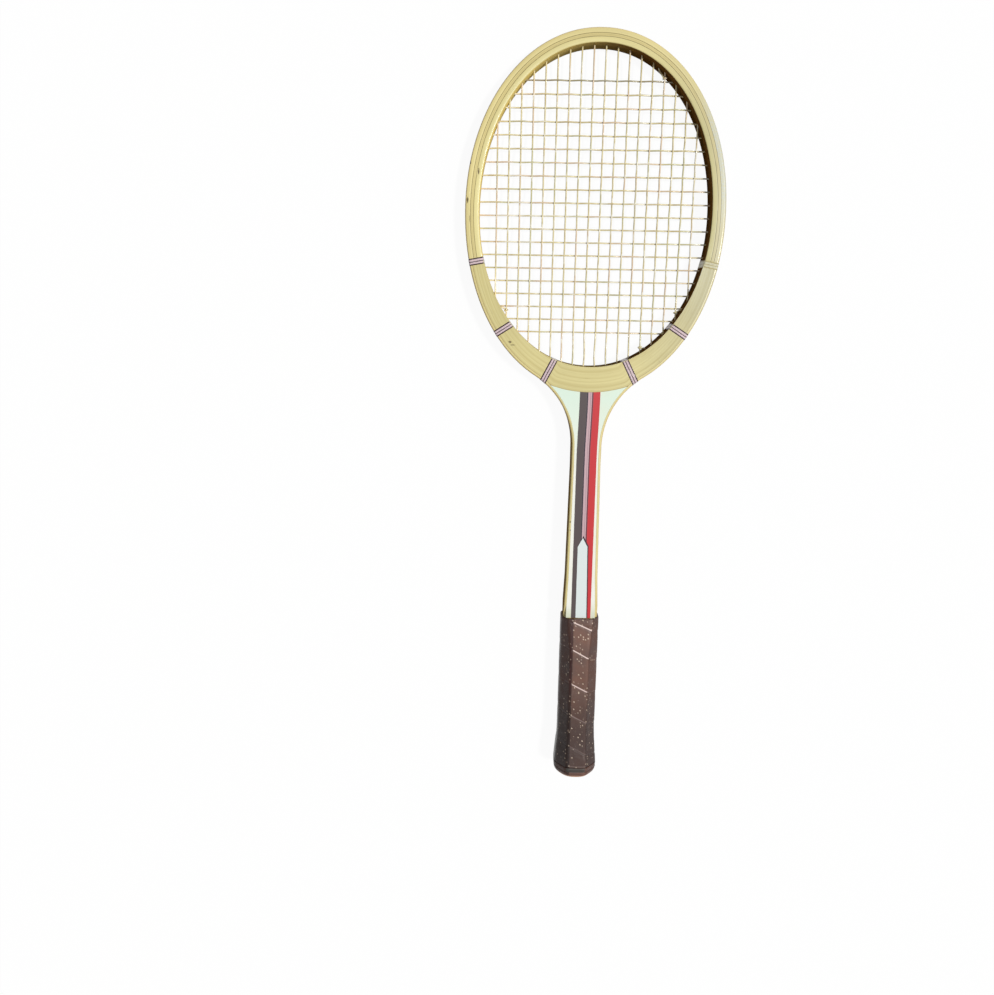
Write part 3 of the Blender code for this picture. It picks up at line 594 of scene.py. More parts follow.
class Nodes:
    """Short ways to add and join shader nodes in one tree."""

    def __init__(self, tree):
        self.tree = tree

    def add(self, kind, inputs=None, **settings):
        node = self.tree.nodes.new(kind)
        for key, value in settings.items():
            setattr(node, key, value)
        for key, value in (inputs or {}).items():
            self.feed(node.inputs[key], value)
        return node

    def feed(self, socket, value):
        if isinstance(value, bpy.types.NodeSocket):
            self.tree.links.new(value, socket)
        elif value is not None:
            socket.default_value = value

    def math(self, operation, *values, clamp=False):
        node = self.tree.nodes.new("ShaderNodeMath")
        node.operation, node.use_clamp = operation, clamp
        for socket, value in zip(node.inputs, values):
            self.feed(socket, value)
        return node.outputs[0]

    def mix(self, factor, first, second, blend="MIX"):
        node = self.tree.nodes.new("ShaderNodeMix")
        node.data_type, node.blend_type = "RGBA", blend
        self.feed(node.inputs["Factor"], factor)
        self.feed(node.inputs[6], first)
        self.feed(node.inputs[7], second)
        return node.outputs[2]

    def smooth(self, value, low, high, start=0.0, end=1.0):
        inputs = {"Value": value, "From Min": low, "From Max": high, "To Min": start, "To Max": end}
        return self.add("ShaderNodeMapRange", inputs, interpolation_type="SMOOTHSTEP").outputs[0]

    def scaled(self, vector, scale):
        return self.add("ShaderNodeMapping", {"Vector": vector, "Scale": scale}).outputs[0]

    def noise(self, vector, scale, detail=2.0, rough=0.5):
        inputs = {"Vector": vector, "Scale": scale, "Detail": detail, "Roughness": rough}
        return self.add("ShaderNodeTexNoise", inputs).outputs["Fac"]

    def split(self, vector):
        return self.add("ShaderNodeSeparateXYZ", {0: vector}).outputs

    def toned(self, colour, tone, share=1.0):
        return self.mix(share, colour, tone, "MULTIPLY")

    def times(self, first, second):
        return self.math("MULTIPLY", first, second)

    def band(self, value, rise, fall):
        """One between a rise and a fall, which are each a start and an end."""
        return self.math("SUBTRACT", self.smooth(value, *rise), self.smooth(value, *fall))

    def space(self):
        return self.add("ShaderNodeTexCoord").outputs["Object"]

    def grain_map(self):
        return self.add("ShaderNodeUVMap", uv_map="grain").outputs[0]

    def upright(self):
        """One where the surface faces straight up or down, and nothing where it stands on edge."""
        facing = self.add("ShaderNodeNewGeometry").outputs["Normal"]
        return self.math("ABSOLUTE", self.split(facing)["Z"])

    def shared(self, tree, **inputs):
        return self.add("ShaderNodeGroup", inputs, node_tree=tree).outputs


def group(name, inputs, outputs):
    """A new shader node group with named sockets, and its two end nodes."""
    tree = bpy.data.node_groups.new(name, "ShaderNodeTree")
    for label, kind, default in inputs:
        socket = tree.interface.new_socket(label, in_out="INPUT", socket_type=f"NodeSocket{kind}")
        if default is not None:
            socket.default_value = default
    for label, kind in outputs:
        tree.interface.new_socket(label, in_out="OUTPUT", socket_type=f"NodeSocket{kind}")
    nodes = Nodes(tree)
    return nodes, nodes.add("NodeGroupInput").outputs, nodes.add("NodeGroupOutput").inputs


def grain_group():
    """Long wood grain: streaks that run with the first coordinate of the map."""
    known = bpy.data.node_groups.get("wood_grain")
    if known:
        return known
    nodes, given, out = group(
        "wood_grain",
        [
            ("Map", "Vector", None),
            ("Light", "Color", None),
            ("Dark", "Color", None),
            ("Contrast", "Float", 1.0),
        ],
        [("Color", "Color"), ("Height", "Float"), ("Roughness", "Float")],
    )
    fine = nodes.noise(nodes.scaled(given["Map"], (3.5, 620, 620)), 1.0, 3.0, 0.65)
    broad = nodes.noise(nodes.scaled(given["Map"], (3.0, 210, 210)), 1.0, 2.0)
    drift = nodes.noise(given["Map"], 14.0, 2.0)
    pores = nodes.smooth(nodes.noise(nodes.scaled(given["Map"], (60, 1500, 1500)), 1.0, 1.0), 0.66, 0.74)
    streak = nodes.math("ADD", nodes.times(fine, 0.62), nodes.times(broad, 0.38))
    streak = nodes.smooth(streak, 0.34, 0.66)
    amount = nodes.math("MULTIPLY", streak, given["Contrast"], clamp=True)
    colour = nodes.mix(amount, given["Light"], given["Dark"])
    shade = nodes.smooth(drift, 0.25, 0.75, 0.93, 1.05)
    grey = nodes.add("ShaderNodeCombineColor", {0: shade, 1: shade, 2: shade}).outputs[0]
    colour = nodes.toned(colour, grey)
    colour = nodes.mix(nodes.times(pores, 0.16), colour, (0.10, 0.06, 0.02, 1.0))
    nodes.feed(out["Color"], colour)
    nodes.feed(out["Height"], nodes.math("SUBTRACT", nodes.times(streak, -0.3), pores))
    nodes.feed(out["Roughness"], nodes.smooth(streak, 0.0, 1.0, 0.30, 0.42))
    return nodes.tree


def wear_group():
    """Grime spots and rubs, as a mask of small irregular patches."""
    known = bpy.data.node_groups.get("wear_spots")
    if known:
        return known
    nodes, given, out = group(
        "wear_spots",
        [("Vector", "Vector", None), ("Scale", "Float", 60.0), ("Amount", "Float", 0.7)],
        [("Mask", "Float")],
    )
    patches = nodes.noise(given["Vector"], given["Scale"], 5.0, 0.7)
    top = nodes.math("ADD", given["Amount"], 0.05)
    nodes.feed(out["Mask"], nodes.smooth(patches, given["Amount"], top))
    return nodes.tree


def finish(name, roughness=0.4, **sockets):
    """A new Principled material, its tools, and its shader."""
    made = bpy.data.materials.new(name)
    made.use_nodes = True
    shader = made.node_tree.nodes["Principled BSDF"]
    shader.inputs["Roughness"].default_value = roughness
    for key, value in sockets.items():
        shader.inputs[key.replace("_", " ").title()].default_value = value
    return made, Nodes(made.node_tree), shader


def bump(nodes, shader, height, distance, strength=0.5):
    node = nodes.add("ShaderNodeBump", {"Height": height, "Distance": distance, "Strength": strength})
    nodes.feed(shader.inputs["Normal"], node.outputs[0])


def wood_finish(name, light, dark, contrast, lines=(), line_colour=None, edge=None, walls=None, marks=()):
    """Varnished wood whose grain follows the layer, with dark glue lines at given insets.

    The walls are toned by a colour, which may change from the left of the head to its right; these tones are
    painted light and shade. Each mark is a dark spot through the whole depth, as x, s, its reach across and
    along, and its strength. The darker right side and shaft are painted shade, and the haze is a painted
    sheen.
    """
    made, nodes, shader = finish(name, coat_weight=0.25, coat_roughness=0.12)
    space = nodes.space()
    spot = nodes.split(space)
    flat = nodes.split(nodes.grain_map())
    chart = nodes.add("ShaderNodeCombineXYZ", {0: flat["X"], 1: flat["Y"], 2: spot["Z"]}).outputs[0]
    grain = nodes.shared(grain_group(), Map=chart, Light=light, Dark=dark, Contrast=contrast)
    colour = grain["Color"]
    wander = nodes.times(nodes.math("SUBTRACT", nodes.noise(chart, 30.0), 0.5), 0.0005)
    depth = nodes.math("ADD", flat["Y"], wander)
    for centre, width, strength in lines:
        away = nodes.math("ABSOLUTE", nodes.math("SUBTRACT", depth, centre))
        mask = nodes.times(nodes.smooth(away, width * 0.3, width, 1.0, 0.0), strength)
        colour = nodes.mix(mask, colour, line_colour)
    if edge:
        reach, tint, strength = edge
        strength = nodes.smooth(spot["X"], 0.03, 0.09, strength, strength * 0.15)
        mask = nodes.times(nodes.smooth(flat["Y"], 0.0, reach, 1.0, 0.0), strength)
        colour = nodes.mix(mask, colour, tint)
        # Painted sheen: a pale, cool reflection near the right edge of the hoop's upper part, broken into
        # specks by noise.
        worn = nodes.smooth(nodes.noise(space, 700.0, 4.0, 0.7), 0.35, 0.65, 0.25, 0.75)
        painted_sheen = nodes.times(worn, nodes.smooth(spot["X"], 0.078, 0.102))
        painted_sheen = nodes.times(painted_sheen, nodes.smooth(spot["Y"], 0.175, 0.215, 0.15, 1.0))
        colour = nodes.mix(painted_sheen, colour, srgb(228, 236, 228))
    # Painted shade: the frame is darkened and cooled towards its right side.
    rightward = nodes.smooth(spot["X"], 0.02, 0.11)
    painted_right_shade = nodes.mix(rightward, PLAIN, (0.79, 0.81, 0.88, 1.0))
    colour = nodes.toned(colour, painted_right_shade)
    # Painted shade: the frame below the bow's foot and down the shaft is darkened a little.
    upward = nodes.smooth(spot["Y"], 0.028, 0.050)
    painted_shaft_shade = nodes.mix(upward, (0.91, 0.90, 0.90, 1.0), PLAIN)
    colour = nodes.toned(colour, painted_shaft_shade)
    # Painted light and shade: walls facing away from a light on the right are darkened, walls facing it are
    # lightened.
    if walls:
        side = nodes.smooth(nodes.upright(), 0.25, 0.80, 1.0, 0.0)
        tone = nodes.mix(nodes.smooth(spot["X"], -0.07, 0.045), walls[0], walls[1])
        colour = nodes.toned(colour, tone, side)
        nodes.feed(shader.inputs["Specular IOR Level"], nodes.math("MULTIPLY_ADD", side, -0.5, 0.5))
        nodes.feed(shader.inputs["Coat Weight"], nodes.math("MULTIPLY_ADD", side, -0.25, 0.25))
    wear = nodes.shared(wear_group(), Vector=space, Scale=55.0, Amount=0.72)
    colour = nodes.mix(nodes.times(wear["Mask"], 0.55), colour, srgb(120, 84, 42))
    ragged = nodes.math("MULTIPLY_ADD", nodes.noise(space, 900.0, 2.0), 0.8, -0.4)
    for x, s, across, along, strength in marks:
        moved = {"Vector": space, "Location": (-x, LENGTH / 2 - s, 0)}
        start = nodes.add("ShaderNodeMapping", moved).outputs[0]
        shrunk = nodes.scaled(start, (1 / across, 1 / along, 0))
        away = nodes.add("ShaderNodeVectorMath", {0: shrunk}, operation="LENGTH")
        near = nodes.smooth(nodes.math("ADD", away.outputs["Value"], ragged), 0.5, 1.1, strength, 0.0)
        colour = nodes.mix(near, colour, srgb(74, 48, 22))
    nodes.feed(shader.inputs["Base Color"], colour)
    nodes.feed(shader.inputs["Roughness"], grain["Roughness"])
    bump(nodes, shader, grain["Height"], 0.00008)
    return made


# Operators, one for each group of pieces


class OBJECT_OT_racket_layers(bpy.types.Operator):
    """Builds the outer, middle and inner layers of the frame with their string holes"""

    bl_idname = "object.racket_layers"
    bl_label = "Frame layers"

    def execute(self, context):
        settings = context.scene.racket_frame
        rounding, bare = settings.edge_radius, settings.veneer_inset
        light = (*settings.wood, 1.0)
        line = srgb(128, 108, 58)
        bed = StringBed(context.scene.racket_strings.thickness)
        bed.routes()
        low = HALF_DEPTH - VENEER_SEAT

        def drilled(name, shape, wood):
            solid = cut_away(shape, [bed.hole_cutter(STRING_HOLE)])
            piece(f"hoop_{name}", solid, wood, f"{name}_lamination")

        def veneered(spot):
            return spot[1] < head_place(VENEER_ANGLE)[1]

        def outer(spot):
            handle = spot[1] < HANDLE_END
            outside = SUNK_UNDER_CAP if spot[1] < UNDER_CAP else slim(spot[1])
            floor = GROOVE_DEPTH if spot[1] > GROOVE_END else outside
            half = [(floor, GROOVE_HALF), (outside + STEP * 2, 0.0021), (outside, 0.0022)]
            if handle:
                half += [(outside + STEP * k, 0.0049) for k in range(7)]
                half += [(outside + 0.0042, 0.0090), (outside + 0.0043, HANDLE_LAYER_HALF)]
                half.append((OUTER_PLY, HANDLE_LAYER_HALF))
                return mirror_half(half)
            for inward, down in quarter_round(6):
                half.append((outside + rounding * inward, HALF_DEPTH - rounding * down))
            top = low if veneered(spot) else HALF_DEPTH
            half += [(outside + bare, HALF_DEPTH), (outside + bare + STEP, top), (OUTER_PLY, top)]
            return mirror_half(half)

        def middle(spot):
            top = low if veneered(spot) else HALF_DEPTH
            if spot[1] < HANDLE_END:
                top = HANDLE_LAYER_HALF
            return mirror_half([(MIDDLE_START, top), (MIDDLE_START + MIDDLE_PLY + GLUE_LINE, top)])

        outline = full_outline()
        wood = wood_finish(
            "ash_outer", srgb(247, 232, 168), srgb(224, 205, 134), 0.75,
            lines=((OUTER_PLY, GLUE_LINE, 0.55), (OUTER_PLY * 0.62, 0.00022, 0.15)),
            line_colour=line, edge=(0.0016, srgb(224, 184, 108), 0.45),
            # walls: painted shade, darkest on the left outer walls
            walls=((0.42, 0.26, 0.12, 1.0), (0.92, 0.82, 0.70, 1.0)),
            marks=(
                (-0.1086, 0.5768, 0.0012, 0.0018, 0.9), (-0.1104, 0.5457, 0.0010, 0.0030, 0.85),
                (-0.0125, 0.2601, 0.0007, 0.0012, 0.7), (-0.0122, 0.2520, 0.0006, 0.0010, 0.7),
                (-0.0116, 0.2480, 0.0006, 0.0012, 0.6), (-0.1085, 0.5300, 0.0006, 0.0040, 0.35),
            ),
        )
        drilled("outer", sweep(outline, outer), wood)
        start = MIDDLE_START
        seams = ((start, GLUE_LINE, 0.55), (start + MIDDLE_PLY + GLUE_LINE, GLUE_LINE, 0.60))
        wood = wood_finish(
            "ash_middle", light, srgb(212, 193, 124), 0.6,
            lines=(*seams, (start + 0.0013, 0.00018, 0.20)),
            line_colour=line,
        )
        drilled("middle", sweep(outline, middle), wood)

        ring = [2 * pi * k / 180 for k in range(180)]

        def inner_spot(theta):
            return (*head_place(theta), theta)

        def inner(spot):
            theta = spot[4]
            veneer = min(theta, 2 * pi - theta) < VENEER_ANGLE
            top = low if veneer else HALF_DEPTH
            depth = WALL + bow_growth(theta)
            start = INNER_START if not veneer else depth - INNER_PLY
            start = min(start, depth - 0.003)
            edge = 0.0009 if not veneer else 0.00004
            half = [(start, top)]
            for down, inward in quarter_round(3):
                half.append((depth - edge * inward, top - edge * down))
            return mirror_half(half)

        wood = wood_finish(
            "ash_inner", srgb(243, 231, 166), srgb(222, 204, 132), 0.7,
            lines=((INNER_START, GLUE_LINE, 0.5),), line_colour=line,
            # walls: painted light on the left inner walls, painted shade on the right ones
            walls=((1.3, 1.15, 0.85, 1.0), (0.27, 0.14, 0.07, 1.0)),
            marks=((-0.1026, 0.5742, 0.0006, 0.0026, 1.0), (-0.1010, 0.5695, 0.0006, 0.0034, 1.0)),
        )
        drilled("inner", sweep([inner_spot(theta) for theta in ring], inner, closed=True), wood)
        return {"FINISHED"}


class OBJECT_OT_racket_core(bpy.types.Operator):
    """Gives the wedge, the filler strip and the handle's pallets their bare wood"""

    bl_idname = "object.racket_core"
    bl_label = "Wedge and handle blocks"

    def execute(self, context):
        made, nodes, shader = finish("beech", 0.45)
        parts = nodes.split(nodes.space())
        chart = nodes.add("ShaderNodeCombineXYZ", {0: parts["Y"], 1: parts["X"], 2: parts["Z"]}).outputs[0]
        light, dark = srgb(206, 172, 118), srgb(158, 118, 70)
        grain = nodes.shared(grain_group(), Map=chart, Light=light, Dark=dark)
        nodes.feed(shader.inputs["Base Color"], grain["Color"])
        nodes.feed(shader.inputs["Roughness"], grain["Roughness"])
        bump(nodes, shader, grain["Height"], 0.00008)
        for name in ("throat_wedge", "shaft_core", "handle_pallet_front", "handle_pallet_back"):
            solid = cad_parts[name]
            for slot in solid.material_slots:
                slot.material = made
        return {"FINISHED"}


def seam_arc(back, count=40):
    """The seam between the bow's and the shaft's veneer, right to left, on the inset edge."""
    centre = SEAM_FOOT + SEAM_RADIUS
    edge = [inset(spot, back) for spot in RIGHT_SIDE]
    corner = None
    for here, after in zip(edge, edge[1:]):
        inside = hypot(here[0], here[1] - centre) - SEAM_RADIUS
        outside = hypot(after[0], after[1] - centre) - SEAM_RADIUS
        if here[1] < HEAD_CENTRE - BOW_REACH / 2 and inside <= 0 < outside:
            share = inside / (inside - outside)
            corner = (here[0] + (after[0] - here[0]) * share, here[1] + (after[1] - here[1]) * share)
    reach = asin(corner[0] / SEAM_RADIUS)
    angles = [reach * (1 - 2 * k / count) for k in range(count + 1)]
    return [(SEAM_RADIUS * sin(a), centre - SEAM_RADIUS * cos(a)) for a in angles], corner[1]


def strip_plate(left, right, low, high):
    """A plate between two edges of equal count, with its grain mapped along them."""
    shape = bmesh.new()
    grain = shape.loops.layers.uv.verify()
    run = lengths(left)
    rows = []
    across = 6
    for a, b in zip(left, right):
        row = []
        for z in (high, low):
            points = []
            for k in range(across + 1):
                points.append((a[0] + (b[0] - a[0]) * k / across, a[1] + (b[1] - a[1]) * k / across, z))
            row.append([shape.verts.new(place(*point)) for point in points])
        rows.append(row)

    def face(corners):
        made = shape.faces.new([corner[0] for corner in corners])
        for loop, corner in zip(made.loops, corners):
            loop[grain].uv = corner[1]

    for index in range(len(rows) - 1):
        for level in (0, 1):
            for k in range(across):
                corners = []
                for r, c in ((index, k), (index, k + 1), (index + 1, k + 1), (index + 1, k)):
                    width = hypot(right[r][0] - left[r][0], right[r][1] - left[r][1])
                    corners.append((rows[r][level][c], (run[r], width * c / across)))
                face(corners)
        for k in (0, across):
            corners = []
            for r, level in ((index, 0), (index, 1), (index + 1, 1), (index + 1, 0)):
                corners.append((rows[r][level][k], (run[r], 0.01 * level)))
            face(corners)
    for r in (0, len(rows) - 1):
        for k in range(across):
            quad = (rows[r][0][k], rows[r][0][k + 1], rows[r][1][k + 1], rows[r][1][k])
            face([(vert, (run[r], 0.0)) for vert in quad])
    return shape


class OBJECT_OT_racket_bow(bpy.types.Operator):
    """Builds the veneers over the bow, front and back"""

    bl_idname = "object.racket_bow"
    bl_label = "Bow veneers"

    def execute(self, context):
        back = context.scene.racket_frame.veneer_inset + STEP * 3
        seam, corner = seam_arc(back)
        count = 60
        thetas = [VENEER_ANGLE * (1 - k / count) for k in range(count + 1)]
        inner = opening_edge(thetas)
        outer = [inset(spot, back) for spot in RIGHT_SIDE]
        top = head_place(VENEER_ANGLE)[1]
        outer = [point for point in outer if corner + 0.0002 < point[1] < top - 0.001]
        start = inset(head_place(VENEER_ANGLE), back)
        half_seam = seam[: len(seam) // 2 + 1]
        edge = [start, *outer, *half_seam]
        run = lengths(edge)
        spread = []
        for k in range(count + 1):
            value = run[-1] * k / count
            spread.append(tuple(np.interp(value, run, [p[axis] for p in edge]) for axis in (0, 1)))
        wood = wood_finish(
            "bow_veneer", srgb(230, 218, 156), srgb(204, 188, 122), 0.8,
            edge=(0.0009, srgb(150, 120, 62), 0.5), line_colour=srgb(128, 108, 58),
            marks=((-0.0715, 0.4248, 0.0016, 0.0012, 0.75), (-0.0690, 0.4222, 0.0026, 0.0007, 0.5)),
        )
        for name, levels in VENEER_FACES.items():
            shape = strip_plate(mirrored(spread), mirrored(inner), *levels)
            piece(f"bow_veneer_{name}", shape, wood, f"bow_overlay_{name}")
        return {"FINISHED"}


class OBJECT_OT_racket_shaft(bpy.types.Operator):
    """Builds the painted veneers over the shaft, with their stripes and plain pointed panel"""

    bl_idname = "object.racket_shaft"
    bl_label = "Shaft veneers"

    def paint(self):
        made, nodes, shader = finish("striped_paint", 0.32, coat_weight=0.35, coat_roughness=0.10)
        space = nodes.space()
        parts = nodes.split(space)
        waver = nodes.times(nodes.math("SUBTRACT", nodes.noise(space, 160.0, 3.0), 0.5), 0.00022)
        s = nodes.math("ADD", parts["Y"], LENGTH / 2)
        drift = nodes.smooth(s, 0.318, 0.378, 0.0, 0.0011)
        x = nodes.math("SUBTRACT", nodes.math("ADD", parts["X"], waver), drift)
        blotch = nodes.noise(space, 28.0, 3.0)
        height = nodes.smooth(s, 0.30, 0.39)
        cream = nodes.mix(height, srgb(255, 255, 246), srgb(232, 251, 234))
        cream = nodes.mix(nodes.smooth(blotch, 0.45, 0.75, 0.0, 0.35), cream, srgb(244, 246, 216))
        stain = nodes.smooth(s, 0.166, 0.182, 0.45, 0.0)
        stain = nodes.times(stain, nodes.smooth(blotch, 0.4, 0.6))
        cream = nodes.mix(stain, cream, srgb(190, 200, 150))
        stripes = (
            (-0.00895, -0.00240, srgb(94, 83, 84)),
            (-0.00240, -0.00130, srgb(54, 42, 58)),
            (-0.00130, 0.00210, srgb(212, 178, 184)),
            (0.00065, 0.00100, srgb(160, 130, 140)),
            (0.00210, 0.00330, srgb(110, 56, 70)),
            (0.00330, 0.00945, srgb(214, 58, 64)),
        )
        colour = cream
        edge = 0.00007
        for left, right, tone in stripes:
            stripe = nodes.band(x, (left - edge, left + edge), (right - edge, right + edge))
            colour = nodes.mix(stripe, colour, tone)
        down = nodes.math("MAXIMUM", nodes.math("SUBTRACT", 0.235, s), 0.0)
        centre = nodes.math("MULTIPLY_ADD", down, 0.012, -0.0003)
        for apex, half, right, tone in (
            (0.2468, 0.0050, 0.0005, srgb(66, 50, 60)),
            (0.2448, 0.0045, 0.0, srgb(234, 243, 242)),
        ):
            slope = nodes.math("DIVIDE", nodes.math("SUBTRACT", apex, s), 0.0092 / 0.00485)
            limit = nodes.math("MINIMUM", slope, nodes.math("MULTIPLY_ADD", down, 0.009, half))
            away = nodes.math("ABSOLUTE", nodes.math("SUBTRACT", nodes.math("SUBTRACT", x, centre), right))
            inside = nodes.smooth(nodes.math("SUBTRACT", limit, away), -edge, edge)
            colour = nodes.mix(inside, colour, tone)
        speck = nodes.shared(wear_group(), Vector=space, Scale=420.0, Amount=0.74)
        colour = nodes.mix(nodes.times(speck["Mask"], 0.45), colour, srgb(96, 74, 50))
        nodes.feed(shader.inputs["Base Color"], colour)
        fine = nodes.noise(nodes.scaled(space, (900, 20, 900)), 1.0, 2.0)
        bump(nodes, shader, fine, 0.00004, 0.4)
        return made

    def execute(self, context):
        back = context.scene.racket_frame.veneer_inset + STEP * 3
        seam, corner = seam_arc(back)
        below = [spot for spot in RIGHT_SIDE if inset(spot, back)[1] < corner - 0.0002]
        below += shaft_spots(SHAFT_STATIONS)
        outer = [inset(spot, back + slim(spot[1])) for spot in below]
        finish_paint = self.paint()
        for name, (low, high) in VENEER_FACES.items():
            shape = bmesh.new()
            ring = seam[::-1] + outer + [(-x, s) for x, s in reversed(outer)]
            tops = [shape.verts.new(place(x, s, high)) for x, s in ring]
            feet = [shape.verts.new(place(x, s, low)) for x, s in ring]
            shape.faces.new(tops)
            shape.faces.new(feet[::-1])
            for k in range(len(ring)):
                step = (k + 1) % len(ring)
                shape.faces.new((tops[k], tops[step], feet[step], feet[k]))
            piece(f"shaft_veneer_{name}", shape, finish_paint, f"shaft_overlay_{name}")
        return {"FINISHED"}


class OBJECT_OT_racket_whippings(bpy.types.Operator):
    """Builds the six thread whippings, turn by turn, round the frame"""

    bl_idname = "object.racket_whippings"
    bl_label = "Whippings"

    def thread(self, name, pale, dark):
        made, nodes, shader = finish(name, 0.38, coat_weight=0.4, coat_roughness=0.15)
        v = nodes.split(nodes.grain_map())["Y"]
        colour = dark
        for low, high in ((0.17, 0.43), (0.54, 0.83)):
            band = nodes.band(v, (low - 0.01, low + 0.01), (high - 0.01, high + 0.01))
            colour = nodes.mix(band, colour, pale)
        space = nodes.space()
        worn = nodes.smooth(nodes.noise(space, 900.0, 2.0), 0.5, 0.7, 0.0, 0.25)
        colour = nodes.mix(worn, colour, srgb(120, 84, 96))
        nodes.feed(shader.inputs["Base Color"], colour)
        bump(nodes, shader, nodes.noise(space, 2600.0, 2.0), 0.00005)
        return made

    def execute(self, context):
        threads, arc = 13, 4
        width, swell = 0.0060, 0.00026
        bright = self.thread("lacquered_thread", srgb(232, 212, 216), srgb(64, 40, 48))
        # A paler, low-contrast copy of the thread for the upper right whipping: a painted sheen.
        sheen_washed = self.thread("sheen_washed_thread", srgb(230, 226, 198), srgb(204, 192, 142))
        paths = opening_edge([pi * k / 400 for k in range(401)]), [spot[:2] for spot in RIGHT_SIDE]
        for where, degrees in WHIP_ANGLES.items():
            for name, side in (("left", -1), ("right", 1)):
                theta = radians(degrees)
                spot = head_place(theta)
                across = np.array([spot[2], spot[3]])
                along = np.array([-spot[3], spot[2]])
                middle = np.array(inset(spot, (WALL + bow_growth(theta)) / 2))
                rings = []
                count = threads * arc
                for k in range(count + 1):
                    shift = width * (k / count - 0.5)
                    out = 0.00006 + swell * abs(sin(pi * k / arc)) ** 0.7
                    start = middle + along * shift
                    spans = []
                    for path in paths:
                        points = np.array(path) - start
                        u, v = points @ along, points @ across
                        turns = np.nonzero((u[:-1] > 0) != (u[1:] > 0))[0]
                        hits = [v[i] + (v[i + 1] - v[i]) * u[i] / (u[i] - u[i + 1]) for i in turns]
                        spans.append(min(hits, key=abs))
                    ring = []
                    walls = ((spans[0] - out, -1, INNER_ROUND), (spans[1] + out, 1, OUTER_ROUND))
                    for v, sign, edge in walls:
                        reach = edge + out
                        corner = []
                        for inward, down in quarter_round(5):
                            corner.append((v - sign * reach * inward, HALF_DEPTH + out - reach * down))
                        ring += corner if sign < 0 else corner[::-1]
                    ring = ring + [(v, -z) for v, z in reversed(ring)]
                    points = []
                    for v, z in ring:
                        x, s = start + across * v
                        points.append((side * x, s, z))
                    rings.append(points)

                def wrap(row, step, count=count):
                    return step * 0.01, row / count

                shape = loft(rings, wrap=wrap)
                caps = [face for face in shape.faces if len(face.verts) > 4]
                bmesh.ops.delete(shape, geom=caps, context="FACES")
                # The upper right whipping takes the painted-sheen copy of the thread.
                material = sheen_washed if (where, name) == ("upper", "right") else bright
                piece(f"bound_{where}_{name}", shape, material, f"whipping_{where}_{name}", angle=70)
        return {"FINISHED"}


class OBJECT_OT_racket_strings(bpy.types.Operator):
    """Strings the racket: mains and crosses, woven and knotted"""

    bl_idname = "object.racket_strings"
    bl_label = "Strings"

    def gut(self, name, colour):
        made, nodes, shader = finish(name, 0.36, coat_weight=0.3, coat_roughness=0.12)
        space = nodes.space()
        blotch = nodes.smooth(nodes.noise(space, 190.0, 3.0), 0.42, 0.70, 0.0, 0.7)
        tone = nodes.mix(blotch, colour, srgb(208, 186, 132))
        runs = nodes.scaled(space, (100, 22, 1) if name == "gut_main" else (22, 90, 1))
        for stretch, scale, low, high, most, tint in (
            ((1.0, 1.0, 1), 1.0, 0.52, 0.62, 0.7, srgb(236, 206, 180)),
            ((1.1, 0.9, 1), 1.4, 0.54, 0.64, 0.6, srgb(204, 204, 160)),
            ((0.8, 1.7, 1), 2.1, 0.55, 0.63, 0.75, srgb(252, 246, 226)),
        ):
            patch = nodes.noise(nodes.scaled(runs, stretch), scale, 2.0)
            tone = nodes.mix(nodes.smooth(patch, low, high, 0.0, most), tone, tint)
        if name == "gut_cross":
            end = nodes.band(nodes.split(space)["Y"], (0.3012, 0.3016), (0.3046, 0.3050))
            tone = nodes.mix(nodes.times(end, 0.75), tone, srgb(150, 140, 108))
        nodes.feed(shader.inputs["Base Color"], tone)
        bump(nodes, shader, nodes.noise(space, 3000.0, 2.0), 0.00004)
        return made

    def execute(self, context):
        settings = context.scene.racket_strings
        bed = StringBed(settings.thickness)
        mains, crosses = bed.routes()
        colour = (*settings.colour, 1.0)
        for kind, route in (("main", mains), ("cross", crosses)):
            gut = self.gut(f"gut_{kind}", colour)
            string_curve(f"strung_{kind}", softened(route, STRING_STEP), settings.thickness, gut)
        return {"FINISHED"}


def handle_corners(station, out):
    """The handle's eight corners, clockwise from the front face's left corner, as seen from the butt."""
    start = HANDLE_LENGTH - PALLET_TAPER
    fall = PALLET_FALL * min(max((station - start) / PALLET_TAPER, 0.0), 1.0)
    flare = CAP_FLARE * min(max((CAP_LENGTH - station) / (CAP_LENGTH - CAP_SHOULDER), 0.0), 1.0)
    out += flare
    width, depth = HANDLE_HALF + out, HANDLE_HALF_DEPTH - fall + out
    total = BEVEL_SUM + out * sqrt(2)
    quarter = [(depth - total, depth), (total - depth, depth), (width, total - width), (width, width - total)]
    return [np.array(c) for c in quarter] + [-np.array(c) for c in quarter]


def handle_skin(turns, station, out, soft):
    """A place on the handle's skin whose corners are rounded over a distance of soft."""
    corners = handle_corners(station, out)
    facets = (turns % 1) * 8
    index = min(int(facets), 7)
    share = facets - index
    here, after = corners[index], corners[(index + 1) % 8]
    size = norm(after - here)
    reach = min(soft / size, 0.45)
    for near, corner, other, away in (
        (share, here, corners[index - 1], after),
        (1 - share, after, corners[(index + 2) % 8], here),
    ):
        if near < reach:
            outward = norm(other - corner)
            span = min(soft, outward * 0.45)
            first = corner + (other - corner) / outward * span
            last = corner + (away - corner) * reach
            t = 0.5 + 0.5 * near / reach
            x, z = first * (1 - t) ** 2 + corner * 2 * t * (1 - t) + last * t**2
            return (x, station, z)
    x, z = here + (after - here) * share
    return (x, station, z)


def grip_fall(turns):
    other = (1 - 2 * FACE_DROP) / 6
    drops = [FACE_DROP, other, other, other] * 2
    whole = int(turns // 1)
    facets = (turns - whole) * 8
    index = min(int(facets), 7)
    return whole + sum(drops[:index]) + drops[index] * (facets - index)


